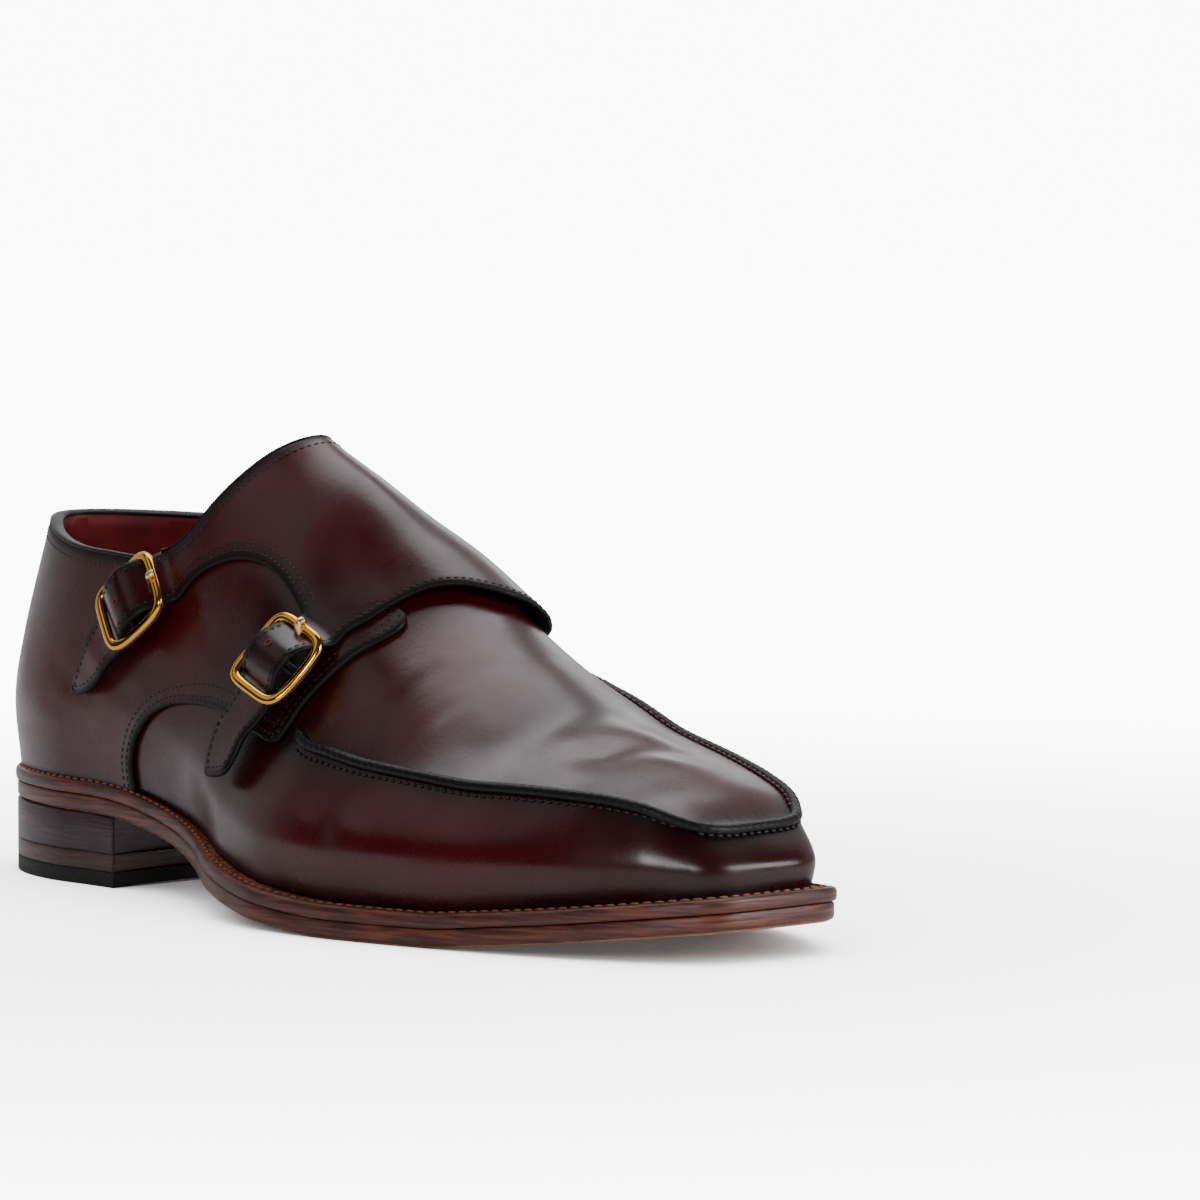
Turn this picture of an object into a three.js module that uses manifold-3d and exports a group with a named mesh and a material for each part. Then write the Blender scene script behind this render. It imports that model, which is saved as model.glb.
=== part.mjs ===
// Right shoe: a double monk strap shoe in burgundy calf, standing empty on its leather sole.
// X runs toward the toe, Y to the wearer's left (the inner, medial side), Z up from the floor.
import * as THREE from "three";
import { mergeVertices } from "three/addons/utils/BufferGeometryUtils.js";
import Module from "manifold-3d";

const wasm = await Module();
wasm.setup();

// Driving sizes, in millimetres
const LAST_LENGTH = 300;
const BALL_WIDTH = 100;
const INSTEP_HEIGHT = 100;
const HEEL_HEIGHT = 20.8;
const HEEL_LENGTH = 69;
const BREAST_HOLLOW = 4;
const TOE_SPRING = 8.7;
const OUTSOLE_THICKNESS = 5;
const WELT_THICKNESS = 4;
const WELT_EDGE = 6;
const WELT_SEAT = 8;
const INSOLE_THICKNESS = 3;
const TOP_PIECE_THICKNESS = 4.4;
const LIFT_THICKNESS = 5;
const LINING_WALL = 2;
const LEATHER = 1.4;
const SEAM_BEAD = 1.7;
const STRAP_WIDTH = 14.5;
const BUCKLE_LENGTH = 21.5;
const BUCKLE_WIDTH = 20;
const BUCKLE_WIRE = 1.4;
const BAR_WIRE = 0.75;
const PRONG_WIRE = 0.8;
const BUCKLE_BOW = 0.8;
const BUCKLE_STAND = 8.8;
const FLAP_RISE = 3.6;
const CLEARANCE = 0.3;
const LAYER_GAP = 0.4;

// Facets
const STATIONS = 30;
const HEEL_STATIONS = 14;
const STEPS = 3;
const EDGE_STEPS = 12;
const WIRE_FACETS = 6;

// The last: five rails on each side, from the welt up to the ridge over the instep.
// back, lateral, medial and front are shares of LAST_LENGTH: where a rail starts, its toe corners, its nose.
// round is the share of LAST_LENGTH over which the heel closes. In the rows, at is a share of LAST_LENGTH,
// lateral and medial are half widths as shares of BALL_WIDTH, up a share of INSTEP_HEIGHT over the welt.
const RAILS = {
  feather: {
    back: 0.012, lateral: 0.972, medial: 0.985, front: 0.997, round: 0.153,
    rows: [
      { at: 0.017, lateral: 0.265, lateralUp: 0, medial: 0.265, medialUp: 0 },
      { at: 0.133, lateral: 0.275, lateralUp: 0, medial: 0.275, medialUp: 0 },
      { at: 0.25, lateral: 0.285, lateralUp: 0, medial: 0.25, medialUp: 0 },
      { at: 0.35, lateral: 0.34, lateralUp: 0, medial: 0.225, medialUp: 0 },
      { at: 0.4, lateral: 0.395, lateralUp: 0, medial: 0.228, medialUp: 0 },
      { at: 0.45, lateral: 0.475, lateralUp: 0, medial: 0.235, medialUp: 0 },
      { at: 0.5, lateral: 0.53, lateralUp: 0, medial: 0.265, medialUp: 0 },
      { at: 0.55, lateral: 0.56, lateralUp: 0, medial: 0.305, medialUp: 0 },
      { at: 0.633, lateral: 0.55, lateralUp: 0, medial: 0.38, medialUp: 0 },
      { at: 0.717, lateral: 0.51, lateralUp: 0, medial: 0.42, medialUp: 0 },
      { at: 0.8, lateral: 0.45, lateralUp: 0, medial: 0.405, medialUp: 0 },
      { at: 0.873, lateral: 0.38, lateralUp: 0, medial: 0.345, medialUp: 0 },
      { at: 0.933, lateral: 0.3, lateralUp: 0, medial: 0.255, medialUp: 0 },
      { at: 0.97, lateral: 0.245, lateralUp: 0, medial: 0.185, medialUp: 0 },
      { at: 1, lateral: 0.22, lateralUp: 0, medial: 0.155, medialUp: 0 },
    ],
  },
  bulge: {
    back: 0.007, lateral: 0.972, medial: 0.988, front: 0.998, round: 0.153,
    rows: [
      { at: 0.017, lateral: 0.28, lateralUp: 0.205, medial: 0.28, medialUp: 0.205 },
      { at: 0.133, lateral: 0.29, lateralUp: 0.187, medial: 0.285, medialUp: 0.187 },
      { at: 0.25, lateral: 0.31, lateralUp: 0.167, medial: 0.285, medialUp: 0.167 },
      { at: 0.35, lateral: 0.355, lateralUp: 0.17, medial: 0.285, medialUp: 0.18 },
      { at: 0.45, lateral: 0.47, lateralUp: 0.16, medial: 0.315, medialUp: 0.19 },
      { at: 0.55, lateral: 0.565, lateralUp: 0.155, medial: 0.385, medialUp: 0.185 },
      { at: 0.633, lateral: 0.57, lateralUp: 0.157, medial: 0.43, medialUp: 0.177 },
      { at: 0.717, lateral: 0.535, lateralUp: 0.154, medial: 0.445, medialUp: 0.164 },
      { at: 0.8, lateral: 0.475, lateralUp: 0.136, medial: 0.42, medialUp: 0.141 },
      { at: 0.873, lateral: 0.4, lateralUp: 0.116, medial: 0.36, medialUp: 0.121 },
      { at: 0.933, lateral: 0.315, lateralUp: 0.095, medial: 0.27, medialUp: 0.1 },
      { at: 0.97, lateral: 0.245, lateralUp: 0.082, medial: 0.2, medialUp: 0.085 },
      { at: 1, lateral: 0.22, lateralUp: 0.07, medial: 0.165, medialUp: 0.075 },
    ],
  },
  shoulder: {
    back: 0.015, lateral: 0.96, medial: 0.96, front: 0.97, round: 0.153,
    rows: [
      { at: 0.017, lateral: 0.255, lateralUp: 0.38, medial: 0.255, medialUp: 0.38 },
      { at: 0.133, lateral: 0.27, lateralUp: 0.365, medial: 0.27, medialUp: 0.37 },
      { at: 0.25, lateral: 0.3, lateralUp: 0.345, medial: 0.28, medialUp: 0.395 },
      { at: 0.35, lateral: 0.33, lateralUp: 0.35, medial: 0.285, medialUp: 0.47 },
      { at: 0.45, lateral: 0.38, lateralUp: 0.36, medial: 0.3, medialUp: 0.53 },
      { at: 0.517, lateral: 0.42, lateralUp: 0.36, medial: 0.315, medialUp: 0.54 },
      { at: 0.6, lateral: 0.455, lateralUp: 0.35, medial: 0.345, medialUp: 0.55 },
      { at: 0.683, lateral: 0.44, lateralUp: 0.34, medial: 0.36, medialUp: 0.49 },
      { at: 0.77, lateral: 0.395, lateralUp: 0.32, medial: 0.345, medialUp: 0.395 },
      { at: 0.847, lateral: 0.335, lateralUp: 0.295, medial: 0.31, medialUp: 0.325 },
      { at: 0.893, lateral: 0.295, lateralUp: 0.268, medial: 0.275, medialUp: 0.28 },
      { at: 0.93, lateral: 0.255, lateralUp: 0.228, medial: 0.24, medialUp: 0.233 },
      { at: 0.96, lateral: 0.2, lateralUp: 0.165, medial: 0.197, medialUp: 0.172 },
    ],
  },
  upper: {
    back: 0.044, lateral: 0.96, medial: 0.96, front: 0.97, round: 0.14,
    rows: [
      { at: 0.044, lateral: 0.195, lateralUp: 0.7, medial: 0.195, medialUp: 0.7 },
      { at: 0.133, lateral: 0.22, lateralUp: 0.685, medial: 0.23, medialUp: 0.695 },
      { at: 0.25, lateral: 0.245, lateralUp: 0.655, medial: 0.255, medialUp: 0.685 },
      { at: 0.35, lateral: 0.25, lateralUp: 0.71, medial: 0.245, medialUp: 0.77 },
      { at: 0.45, lateral: 0.25, lateralUp: 0.74, medial: 0.225, medialUp: 0.84 },
      { at: 0.517, lateral: 0.245, lateralUp: 0.69, medial: 0.205, medialUp: 0.825 },
      { at: 0.6, lateral: 0.235, lateralUp: 0.615, medial: 0.195, medialUp: 0.725 },
      { at: 0.683, lateral: 0.23, lateralUp: 0.52, medial: 0.195, medialUp: 0.58 },
      { at: 0.77, lateral: 0.205, lateralUp: 0.42, medial: 0.18, medialUp: 0.45 },
      { at: 0.847, lateral: 0.175, lateralUp: 0.353, medial: 0.16, medialUp: 0.36 },
      { at: 0.893, lateral: 0.15, lateralUp: 0.305, medial: 0.14, medialUp: 0.308 },
      { at: 0.93, lateral: 0.125, lateralUp: 0.251, medial: 0.12, medialUp: 0.253 },
      { at: 0.96, lateral: 0.1, lateralUp: 0.178, medial: 0.1, medialUp: 0.182 },
    ],
  },
  crown: {
    back: 0.073, lateral: 0.96, medial: 0.96, front: 0.97, round: 0,
    rows: [
      { at: 0.073, lateral: 0, lateralUp: 1.3 },
      { at: 0.167, lateral: -0.01, lateralUp: 1.277 },
      { at: 0.25, lateral: -0.01, lateralUp: 1.226 },
      { at: 0.35, lateral: -0.01, lateralUp: 1.115 },
      { at: 0.413, lateral: -0.015, lateralUp: 1.042 },
      { at: 0.467, lateral: -0.02, lateralUp: 0.987 },
      { at: 0.533, lateral: -0.025, lateralUp: 0.87 },
      { at: 0.6, lateral: -0.025, lateralUp: 0.748 },
      { at: 0.65, lateral: -0.02, lateralUp: 0.664 },
      { at: 0.687, lateral: -0.015, lateralUp: 0.61 },
      { at: 0.727, lateral: -0.01, lateralUp: 0.544 },
      { at: 0.77, lateral: 0, lateralUp: 0.478 },
      { at: 0.817, lateral: 0, lateralUp: 0.417 },
      { at: 0.86, lateral: 0, lateralUp: 0.369 },
      { at: 0.9, lateral: 0, lateralUp: 0.314 },
      { at: 0.933, lateral: 0, lateralUp: 0.253 },
      { at: 0.96, lateral: 0, lateralUp: 0.184 },
    ],
  },
};
const HALF = ["feather", "bulge", "shoulder", "upper", "crown"];

// The underside along the shoe: shares of HEEL_HEIGHT and TOE_SPRING, flat on the floor under the ball
const UNDERSIDE = [
  { at: 0, heel: 1, toe: 0 },
  { at: 0.133, heel: 0.98, toe: 0 },
  { at: 0.233, heel: 0.93, toe: 0 },
  { at: 0.333, heel: 0.7, toe: 0 },
  { at: 0.433, heel: 0.4, toe: 0 },
  { at: 0.533, heel: 0.14, toe: 0 },
  { at: 0.61, heel: 0.02, toe: 0 },
  { at: 0.65, heel: 0, toe: 0 },
  { at: 0.74, heel: 0, toe: 0 },
  { at: 0.8, heel: 0, toe: 0.16 },
  { at: 0.873, heel: 0, toe: 0.41 },
  { at: 0.94, heel: 0, toe: 0.68 },
  { at: 1.02, heel: 0, toe: 1 },
];

// How far the sole stands out from the upper, as shares of WELT_EDGE
const REACH = [
  { at: 0, lateral: 0.5, medial: 0.5 },
  { at: 0.25, lateral: 0.5, medial: 0.5 },
  { at: 0.35, lateral: 0.6, medial: 0.5 },
  { at: 0.42, lateral: 0.95, medial: 0.55 },
  { at: 0.5, lateral: 1.1, medial: 0.6 },
  { at: 0.62, lateral: 1.08, medial: 0.72 },
  { at: 0.75, lateral: 0.95, medial: 0.75 },
  { at: 1, lateral: 1, medial: 0.8 },
];
const BACK_REACH = 0.55;

// The edge of the collar and of the flap over the instep, as shares of INSTEP_HEIGHT over the welt
const TOPLINE = [
  { at: -0.1, lateral: 0.715, medial: 0.72 },
  { at: 0.063, lateral: 0.7, medial: 0.717 },
  { at: 0.1, lateral: 0.672, medial: 0.714 },
  { at: 0.153, lateral: 0.646, medial: 0.714 },
  { at: 0.2, lateral: 0.638, medial: 0.718 },
  { at: 0.237, lateral: 0.639, medial: 0.735 },
  { at: 0.267, lateral: 0.648, medial: 0.785 },
  { at: 0.3, lateral: 0.69, medial: 0.86 },
  { at: 0.327, lateral: 0.765, medial: 0.92 },
  { at: 0.343, lateral: 0.845, medial: 0.965 },
  { at: 0.36, lateral: 0.92, medial: 1 },
  { at: 0.377, lateral: 0.982, medial: 1.03 },
  { at: 0.395, lateral: 1.035, medial: 1.055 },
  { at: 0.415, lateral: 1.085, medial: 1.085 },
  { at: 0.45, lateral: 1.2, medial: 1.2 },
  { at: 0.5, lateral: 1.5, medial: 1.5 },
];
const COLLAR_BLEND = 0.16;

// Shares of LAST_LENGTH: the quarters' seam at the waist, the back of the flap at the ankle,
// the lateral quarter's end at the instep, the flap's front over the ridge and the ends of the apron's bead
const WAIST_SEAM = 0.268;
const FLAP_ANKLE = 0.285;
const QUARTER_INSTEP = 0.38;
const FLAP_THROAT = 0.595;
const BEAD_LATERAL = 0.55;
const BEAD_MEDIAL = 0.6;
const BEAD_FRONT = 0.98;

// The overlays' outlines from the side: at is a share of LAST_LENGTH, up of INSTEP_HEIGHT over the welt.
// The lateral quarter, from the sole at the waist round its seam, up its front edge and back under the flap
const LATERAL_QUARTER = [
  { at: 0.268, up: -0.12 },
  { at: 0.262, up: 0.035 },
  { at: 0.264, up: 0.085 },
  { at: 0.275, up: 0.16 },
  { at: 0.29, up: 0.218 },
  { at: 0.31, up: 0.265 },
  { at: 0.335, up: 0.3 },
  { at: 0.375, up: 0.332 },
  { at: 0.415, up: 0.347 },
  { at: 0.46, up: 0.342 },
  { at: 0.5, up: 0.337 },
  { at: 0.516, up: 0.348 },
  { at: 0.522, up: 0.385 },
  { at: 0.532, up: 0.455 },
  { at: 0.548, up: 0.527 },
  { at: 0.564, up: 0.592 },
  { at: 0.579, up: 0.638 },
  { at: 0.586, up: 0.673 },
  { at: 0.58, up: 0.703 },
  { at: 0.56, up: 0.732 },
  { at: 0.5, up: 0.815 },
  { at: 0.44, up: 0.89 },
  { at: 0.38, up: 0.945 },
];
// The medial quarter, from the sole at the waist round its seam to the point of the flap and up to the instep
const MEDIAL_QUARTER = [
  { at: 0.268, up: -0.12 },
  { at: 0.266, up: 0.007 },
  { at: 0.27, up: 0.1 },
  { at: 0.281, up: 0.193 },
  { at: 0.3, up: 0.294 },
  { at: 0.327, up: 0.375 },
  { at: 0.355, up: 0.425 },
  { at: 0.39, up: 0.456 },
  { at: 0.45, up: 0.477 },
  { at: 0.505, up: 0.488 },
  { at: 0.531, up: 0.493 },
  { at: 0.549, up: 0.535 },
  { at: 0.568, up: 0.585 },
  { at: 0.586, up: 0.637 },
  { at: 0.598, up: 0.686 },
  { at: 0.602, up: 0.726 },
  { at: 0.595, up: 0.765 },
];
// The flap on the lateral side: its front edge, the arch between the straps, and its corner at the ankle
const FLAP_FRONT = [
  { at: 0.595, up: 0.765 },
  { at: 0.58, up: 0.762 },
  { at: 0.572, up: 0.745 },
  { at: 0.566, up: 0.718 },
  { at: 0.558, up: 0.688 },
  { at: 0.549, up: 0.662 },
];
const FLAP_ARCH = [
  { at: 0.472, up: 0.705 },
  { at: 0.456, up: 0.729 },
  { at: 0.43, up: 0.743 },
  { at: 0.4, up: 0.734 },
  { at: 0.372, up: 0.7 },
  { at: 0.347, up: 0.645 },
  { at: 0.325, up: 0.585 },
];
const FLAP_BACK = [{ at: 0.285, up: 0.84 }];
// The straps' loose ends: down is the way from the centre bar as a share of BUCKLE_LENGTH,
// the middle and half width are shares of STRAP_WIDTH
const TAILS = {
  front: [
    { down: 0.54, middle: 0, half: 0.5 },
    { down: 1.07, middle: 0.03, half: 0.5 },
    { down: 1.6, middle: 0.12, half: 0.5 },
    { down: 1.95, middle: 0.2, half: 0.42 },
    { down: 2.2, middle: 0.19, half: 0.26 },
    { down: 2.33, middle: 0.12, half: 0.08 },
  ],
  rear: [
    { down: 0.54, middle: 0.05, half: 0.5 },
    { down: 0.95, middle: 0.24, half: 0.47 },
    { down: 1.42, middle: 0.5, half: 0.42 },
    { down: 1.85, middle: 0.72, half: 0.3 },
    { down: 2.12, middle: 0.8, half: 0.15 },
    { down: 2.2, middle: 0.8, half: 0.05 },
  ],
};

// The buckles: the middle of each frame as shares along and around the last, the lean of its strap
// from the side, and the way its flat face looks
const BUCKLES = [
  { name: "front", along: 0.513, around: -0.375, lean: [-0.37, 0, -0.93], face: [0.17, -0.82, 0.53] },
  { name: "rear", along: 0.272, around: -0.35, lean: [-0.745, 0, -0.667], face: [-0.02, -0.94, 0.3] },
];

const LEATHER_LOOK = { color: 0x5a1216, roughness: 0.32, metalness: 0 };
const DARK_LOOK = { color: 0x1c0a0c, roughness: 0.35, metalness: 0 };
const LINING_LOOK = { color: 0x7a1418, roughness: 0.6, metalness: 0 };
const SOLE_LOOK = { color: 0x5c3220, roughness: 0.45, metalness: 0 };
const STACK_LOOK = { color: 0x2c1a24, roughness: 0.45, metalness: 0 };
const RUBBER_LOOK = { color: 0x141414, roughness: 0.7, metalness: 0 };
const GOLD_LOOK = { color: 0xd9a441, roughness: 0.18, metalness: 1 };

const V = (x, y, z) => new THREE.Vector3(x, y, z);

// A smooth curve through one column of a table
function curve(rows, key, at) {
  const last = rows.length - 1;
  const x = Math.min(Math.max(at, rows[0].at), rows[last].at);
  let i = 0;
  while (i < last - 1 && x > rows[i + 1].at) i += 1;
  const slope = (k) => (rows[k + 1][key] - rows[k][key]) / (rows[k + 1].at - rows[k].at);
  const tangent = (k) => {
    if (k === 0) return slope(0);
    if (k === last) return slope(last - 1);
    if (slope(k - 1) * slope(k) <= 0) return 0;
    const before = rows[k].at - rows[k - 1].at;
    const after = rows[k + 1].at - rows[k].at;
    return (slope(k - 1) * after + slope(k) * before) / (before + after);
  };
  const h = rows[i + 1].at - rows[i].at;
  const t = (x - rows[i].at) / h;
  const p = rows[i][key] * (1 + 2 * t) * (1 - t) ** 2 + rows[i + 1][key] * t * t * (3 - 2 * t);
  return p + h * t * (1 - t) * (tangent(i) * (1 - t) - tangent(i + 1) * t);
}

function soft(x, from, to) {
  const t = Math.min(Math.max((x - from) / (to - from), 0), 1);
  return t * t * (3 - 2 * t);
}

// Stations drawn together where the heel turns
function share(u) {
  const pull = 0.06;
  return ((u * u) / (u + pull)) * (1 + pull);
}

function undersideAt(x) {
  const at = x / LAST_LENGTH;
  return HEEL_HEIGHT * curve(UNDERSIDE, "heel", at) + TOE_SPRING * curve(UNDERSIDE, "toe", at);
}

function weltTopAt(x) {
  return undersideAt(x) + OUTSOLE_THICKNESS + WELT_THICKNESS;
}

function heelTurn(rail, x) {
  if (rail.round === 0) return 1;
  const q = Math.min((x - rail.back * LAST_LENGTH) / (rail.round * LAST_LENGTH), 1);
  return Math.sqrt(1 - (1 - q) ** 2);
}

// A point on a rail; side is -1 for lateral and 1 for medial, a runs from the heel back to the toe corner
function railPoint(name, side, a) {
  const rail = RAILS[name];
  const left = side < 0 || name === "crown";
  const x = (rail.back + ((left ? rail.lateral : rail.medial) - rail.back) * a) * LAST_LENGTH;
  const half = curve(rail.rows, left ? "lateral" : "medial", x / LAST_LENGTH) * BALL_WIDTH;
  const up = curve(rail.rows, left ? "lateralUp" : "medialUp", x / LAST_LENGTH) * INSTEP_HEIGHT;
  return V(x, (left ? -1 : 1) * half * heelTurn(rail, x), weltTopAt(x) + up);
}

// The nine rail points of one section, joined by a smooth line with a soft corner at the apron seam
function sectionPoint(a, t) {
  const side = (s) => HALF.map((name) => railPoint(name, s, a));
  const points = [...side(-1), ...side(1).slice(0, 4).reverse()];
  const last = points.length - 1;
  const steps = points.slice(1).map((p, k) => Math.sqrt(p.distanceTo(points[k])) + 1e-6);
  const slope = (k) => points[k + 1].clone().sub(points[k]).divideScalar(steps[k]);
  const corner = 0.85 * soft(a, 0.45, 0.62);
  const tangent = (k, into) => {
    if (k === 0) return slope(0);
    if (k === last) return slope(last - 1);
    const total = steps[k - 1] + steps[k];
    const even = slope(k - 1).multiplyScalar(steps[k]).add(slope(k).multiplyScalar(steps[k - 1]));
    even.divideScalar(total);
    if (k !== 2 && k !== last - 2) return even;
    return even.lerp(into ? slope(k - 1) : slope(k), corner);
  };
  const run = ((t + 1) / 2) * last;
  const k = Math.min(Math.floor(run), last - 1);
  const s = run - k;
  const p = points[k].clone().multiplyScalar((1 + 2 * s) * (1 - s) ** 2);
  p.addScaledVector(points[k + 1], s * s * (3 - 2 * s));
  p.addScaledVector(tangent(k, false), steps[k] * s * (1 - s) ** 2);
  return p.addScaledVector(tangent(k + 1, true), -steps[k] * s * s * (1 - s));
}

function surfaceNormal(a, t) {
  const along = sectionPoint(a + 0.003, t).sub(sectionPoint(a - 0.003, t));
  const around = sectionPoint(a, t + 0.004).sub(sectionPoint(a, t - 0.004));
  return along.cross(around).normalize();
}

function onSurface(a, t, lift) {
  return sectionPoint(a, t).addScaledVector(surfaceNormal(a, t), lift);
}

// Triangles gathered as points, joined into one closed solid
function solid(triangles) {
  const keep = triangles.filter(([p, q, r]) => {
    return p.distanceTo(q) > 1e-3 && q.distanceTo(r) > 1e-3 && r.distanceTo(p) > 1e-3;
  });
  const raw = new THREE.BufferGeometry().setFromPoints(keep.flat());
  return fromGeometry(raw);
}

function fromGeometry(geometry) {
  const plain = geometry.index ? geometry.toNonIndexed() : geometry;
  plain.deleteAttribute("normal");
  plain.deleteAttribute("uv");
  const merged = mergeVertices(plain, 1e-3);
  const index = [];
  const all = merged.index.array;
  for (let k = 0; k < all.length; k += 3) {
    const [p, q, r] = [all[k], all[k + 1], all[k + 2]];
    if (p !== q && q !== r && r !== p) index.push(p, q, r);
  }
  const mesh = new wasm.Mesh({
    numProp: 3,
    vertProperties: new Float32Array(merged.attributes.position.array),
    triVerts: new Uint32Array(index),
  });
  return new wasm.Manifold(mesh);
}

function quad(list, p, q, r, s) {
  list.push([p, q, r], [p, r, s]);
}

// The base net of the last: its points, each with its place along (a) and around (t)
function makeNet() {
  const around = [];
  for (let j = 0; j <= 8 * STEPS; j += 1) around.push(-1 + j / (4 * STEPS));
  const wall = 2 * STEPS;
  const body = [];
  for (let i = 0; i <= STATIONS; i += 1) {
    const a = share(i / STATIONS);
    body.push(around.map((t) => ({ p: sectionPoint(a, t), a, t })));
  }
  for (let j = 0; j < 4 * STEPS; j += 1) body[0][8 * STEPS - j] = body[0][j];
  const last = body[STATIONS];
  const nose = [];
  for (let k = 0; k <= 4 * STEPS; k += 1) {
    const b = -1 + k / (2 * STEPS);
    const column = [];
    for (let j = 0; j <= wall; j += 1) {
      const p = last[j].p.clone().lerp(last[8 * STEPS - j].p, (b + 1) / 2);
      const names = j < STEPS ? ["feather", "bulge"] : ["bulge", "shoulder"];
      const bow = names.map((n) => RAILS[n].front - (RAILS[n].lateral + RAILS[n].medial) / 2);
      const s = (j % STEPS) / STEPS;
      const reach = j === wall ? bow[1] : bow[0] * (1 - s) + bow[1] * s;
      p.x += reach * LAST_LENGTH * (1 - b ** 4);
      column.push({ p, a: 1, t: around[j] });
    }
    nose.push(column);
  }
  nose[0] = last.slice(0, wall + 1);
  nose[4 * STEPS] = last.slice(8 * STEPS - wall).reverse();
  return { body, nose, wall };
}

const NET = makeNet();

// Triangles of the last at a lift from its surface, with a skirt hanging below the welt line
function lastAt(lift) {
  const { body, nose, wall } = NET;
  const side = [];
  for (let i = 0; i < body.length - 1; i += 1) {
    for (let j = 0; j < body[0].length - 1; j += 1) {
      quad(side, body[i][j], body[i + 1][j], body[i + 1][j + 1], body[i][j + 1]);
    }
  }
  for (let k = 0; k < nose.length - 1; k += 1) {
    for (let j = 0; j < wall; j += 1) {
      quad(side, nose[k][j], nose[k + 1][j], nose[k + 1][j + 1], nose[k][j + 1]);
    }
    const front = body[body.length - 1];
    quad(side, nose[k][wall], nose[k + 1][wall], front[wall + k + 1], front[wall + k]);
  }
  const normals = new Map();
  for (const [p, q, r] of side) {
    const n = q.p.clone().sub(p.p).cross(r.p.clone().sub(p.p));
    for (const v of [p, q, r]) {
      if (!normals.has(v)) normals.set(v, V(0, 0, 0));
      normals.get(v).add(n);
    }
  }
  const moved = (v) => v.p.clone().addScaledVector(normals.get(v).clone().normalize(), lift(v.a, v.t));
  const out = side.map((triangle) => triangle.map(moved));
  const skirt = OUTSOLE_THICKNESS + WELT_THICKNESS;
  const down = (v) => moved(v).add(V(0, 0, -skirt));
  const left = body.map((row) => row[0]);
  const right = body.map((row) => row[row.length - 1]);
  const front = nose.map((column) => column[0]);
  for (let i = 0; i < left.length - 1; i += 1) {
    quad(out, down(left[i]), down(left[i + 1]), moved(left[i + 1]), moved(left[i]));
    quad(out, moved(right[i]), moved(right[i + 1]), down(right[i + 1]), down(right[i]));
    quad(out, down(left[i]), down(right[i]), down(right[i + 1]), down(left[i + 1]));
  }
  for (let k = 0; k < front.length - 1; k += 1) {
    quad(out, down(front[k]), down(front[k + 1]), moved(front[k + 1]), moved(front[k]));
    if (k > 0) out.push([down(front[0]), down(front[k + 1]), down(front[k])]);
  }
  return solid(out);
}

// The outline of the sole's layers: how far each stands out from the upper's lower edge
function soleEdge(inset) {
  return {
    back: WELT_EDGE * BACK_REACH - inset,
    toe: WELT_EDGE - inset,
    side: (at, key) => WELT_EDGE * curve(REACH, key, at) - inset,
  };
}

function insideEdge(inset) {
  return { back: -inset, toe: -inset, side: () => -inset };
}

// A layer's outline: both sides from the heel back, and the end across the toe or the heel breast
function outline(edge, breast) {
  const rail = RAILS.feather;
  const stations = breast ? HEEL_STATIONS : STATIONS;
  const sides = [-1, 1].map((side) => {
    const key = side < 0 ? "lateral" : "medial";
    const start = rail.back * LAST_LENGTH - edge.back;
    const end = rail[key] * LAST_LENGTH + edge.toe;
    const reach = breast ? (HEEL_LENGTH - start) / (end - start) : 1;
    const points = [];
    for (let i = 0; i <= stations; i += 1) {
      const a = reach * share(i / stations);
      const x = (rail.back + (rail[key] - rail.back) * a) * LAST_LENGTH;
      const at = x / LAST_LENGTH;
      const half = curve(rail.rows, key, at) * BALL_WIDTH + edge.side(at, key);
      points.push(V(start + (end - start) * a, side * half * heelTurn(rail, x), 0));
    }
    return points;
  });
  const [left, right] = sides;
  const bow = breast ? -BREAST_HOLLOW : (rail.front - (rail.lateral + rail.medial) / 2) * LAST_LENGTH;
  const power = breast ? 2 : 4;
  const front = [];
  for (let k = 0; k <= EDGE_STEPS; k += 1) {
    const b = (2 * k) / EDGE_STEPS - 1;
    const p = left[stations].clone().lerp(right[stations], (b + 1) / 2);
    front.push(p.add(V(bow * (1 - Math.abs(b) ** power), 0, 0)));
  }
  return { left, right, front };
}

function atHeight(shape, height) {
  const raise = (p) => V(p.x, p.y, height(p.x));
  return { left: shape.left.map(raise), right: shape.right.map(raise), front: shape.front.map(raise) };
}

function loopOf(shape) {
  return [...shape.left, ...shape.front.slice(1, -1), ...shape.right.slice().reverse()];
}

function addFace(list, shape, up) {
  const face = [];
  const { left, right, front } = shape;
  const n = left.length - 2;
  for (let i = 0; i < n; i += 1) quad(face, left[i], left[i + 1], right[i + 1], right[i]);
  const middle = front.length >> 1;
  for (let k = 0; k < front.length - 1; k += 1) {
    face.push([k < middle ? left[n] : right[n], front[k], front[k + 1]]);
  }
  face.push([left[n], front[middle], right[n]]);
  for (const [p, q, r] of face) list.push(up ? [p, q, r] : [p, r, q]);
}

function addWall(list, low, high) {
  const [p, q] = [loopOf(low), loopOf(high)];
  for (let i = 0; i < p.length - 1; i += 1) quad(list, p[i], p[i + 1], q[i + 1], q[i]);
}

// A layer from its levels, bottom to top
function layer(levels) {
  const list = [];
  addFace(list, levels[0], false);
  for (let k = 0; k < levels.length - 1; k += 1) addWall(list, levels[k], levels[k + 1]);
  addFace(list, levels[levels.length - 1], true);
  return solid(list);
}

// A flat-lying ring from its corners in section, listed round from the outer bottom
function ring(levels) {
  const list = [];
  for (let k = 0; k < levels.length; k += 1) addWall(list, levels[k], levels[(k + 1) % levels.length]);
  return solid(list);
}

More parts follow.
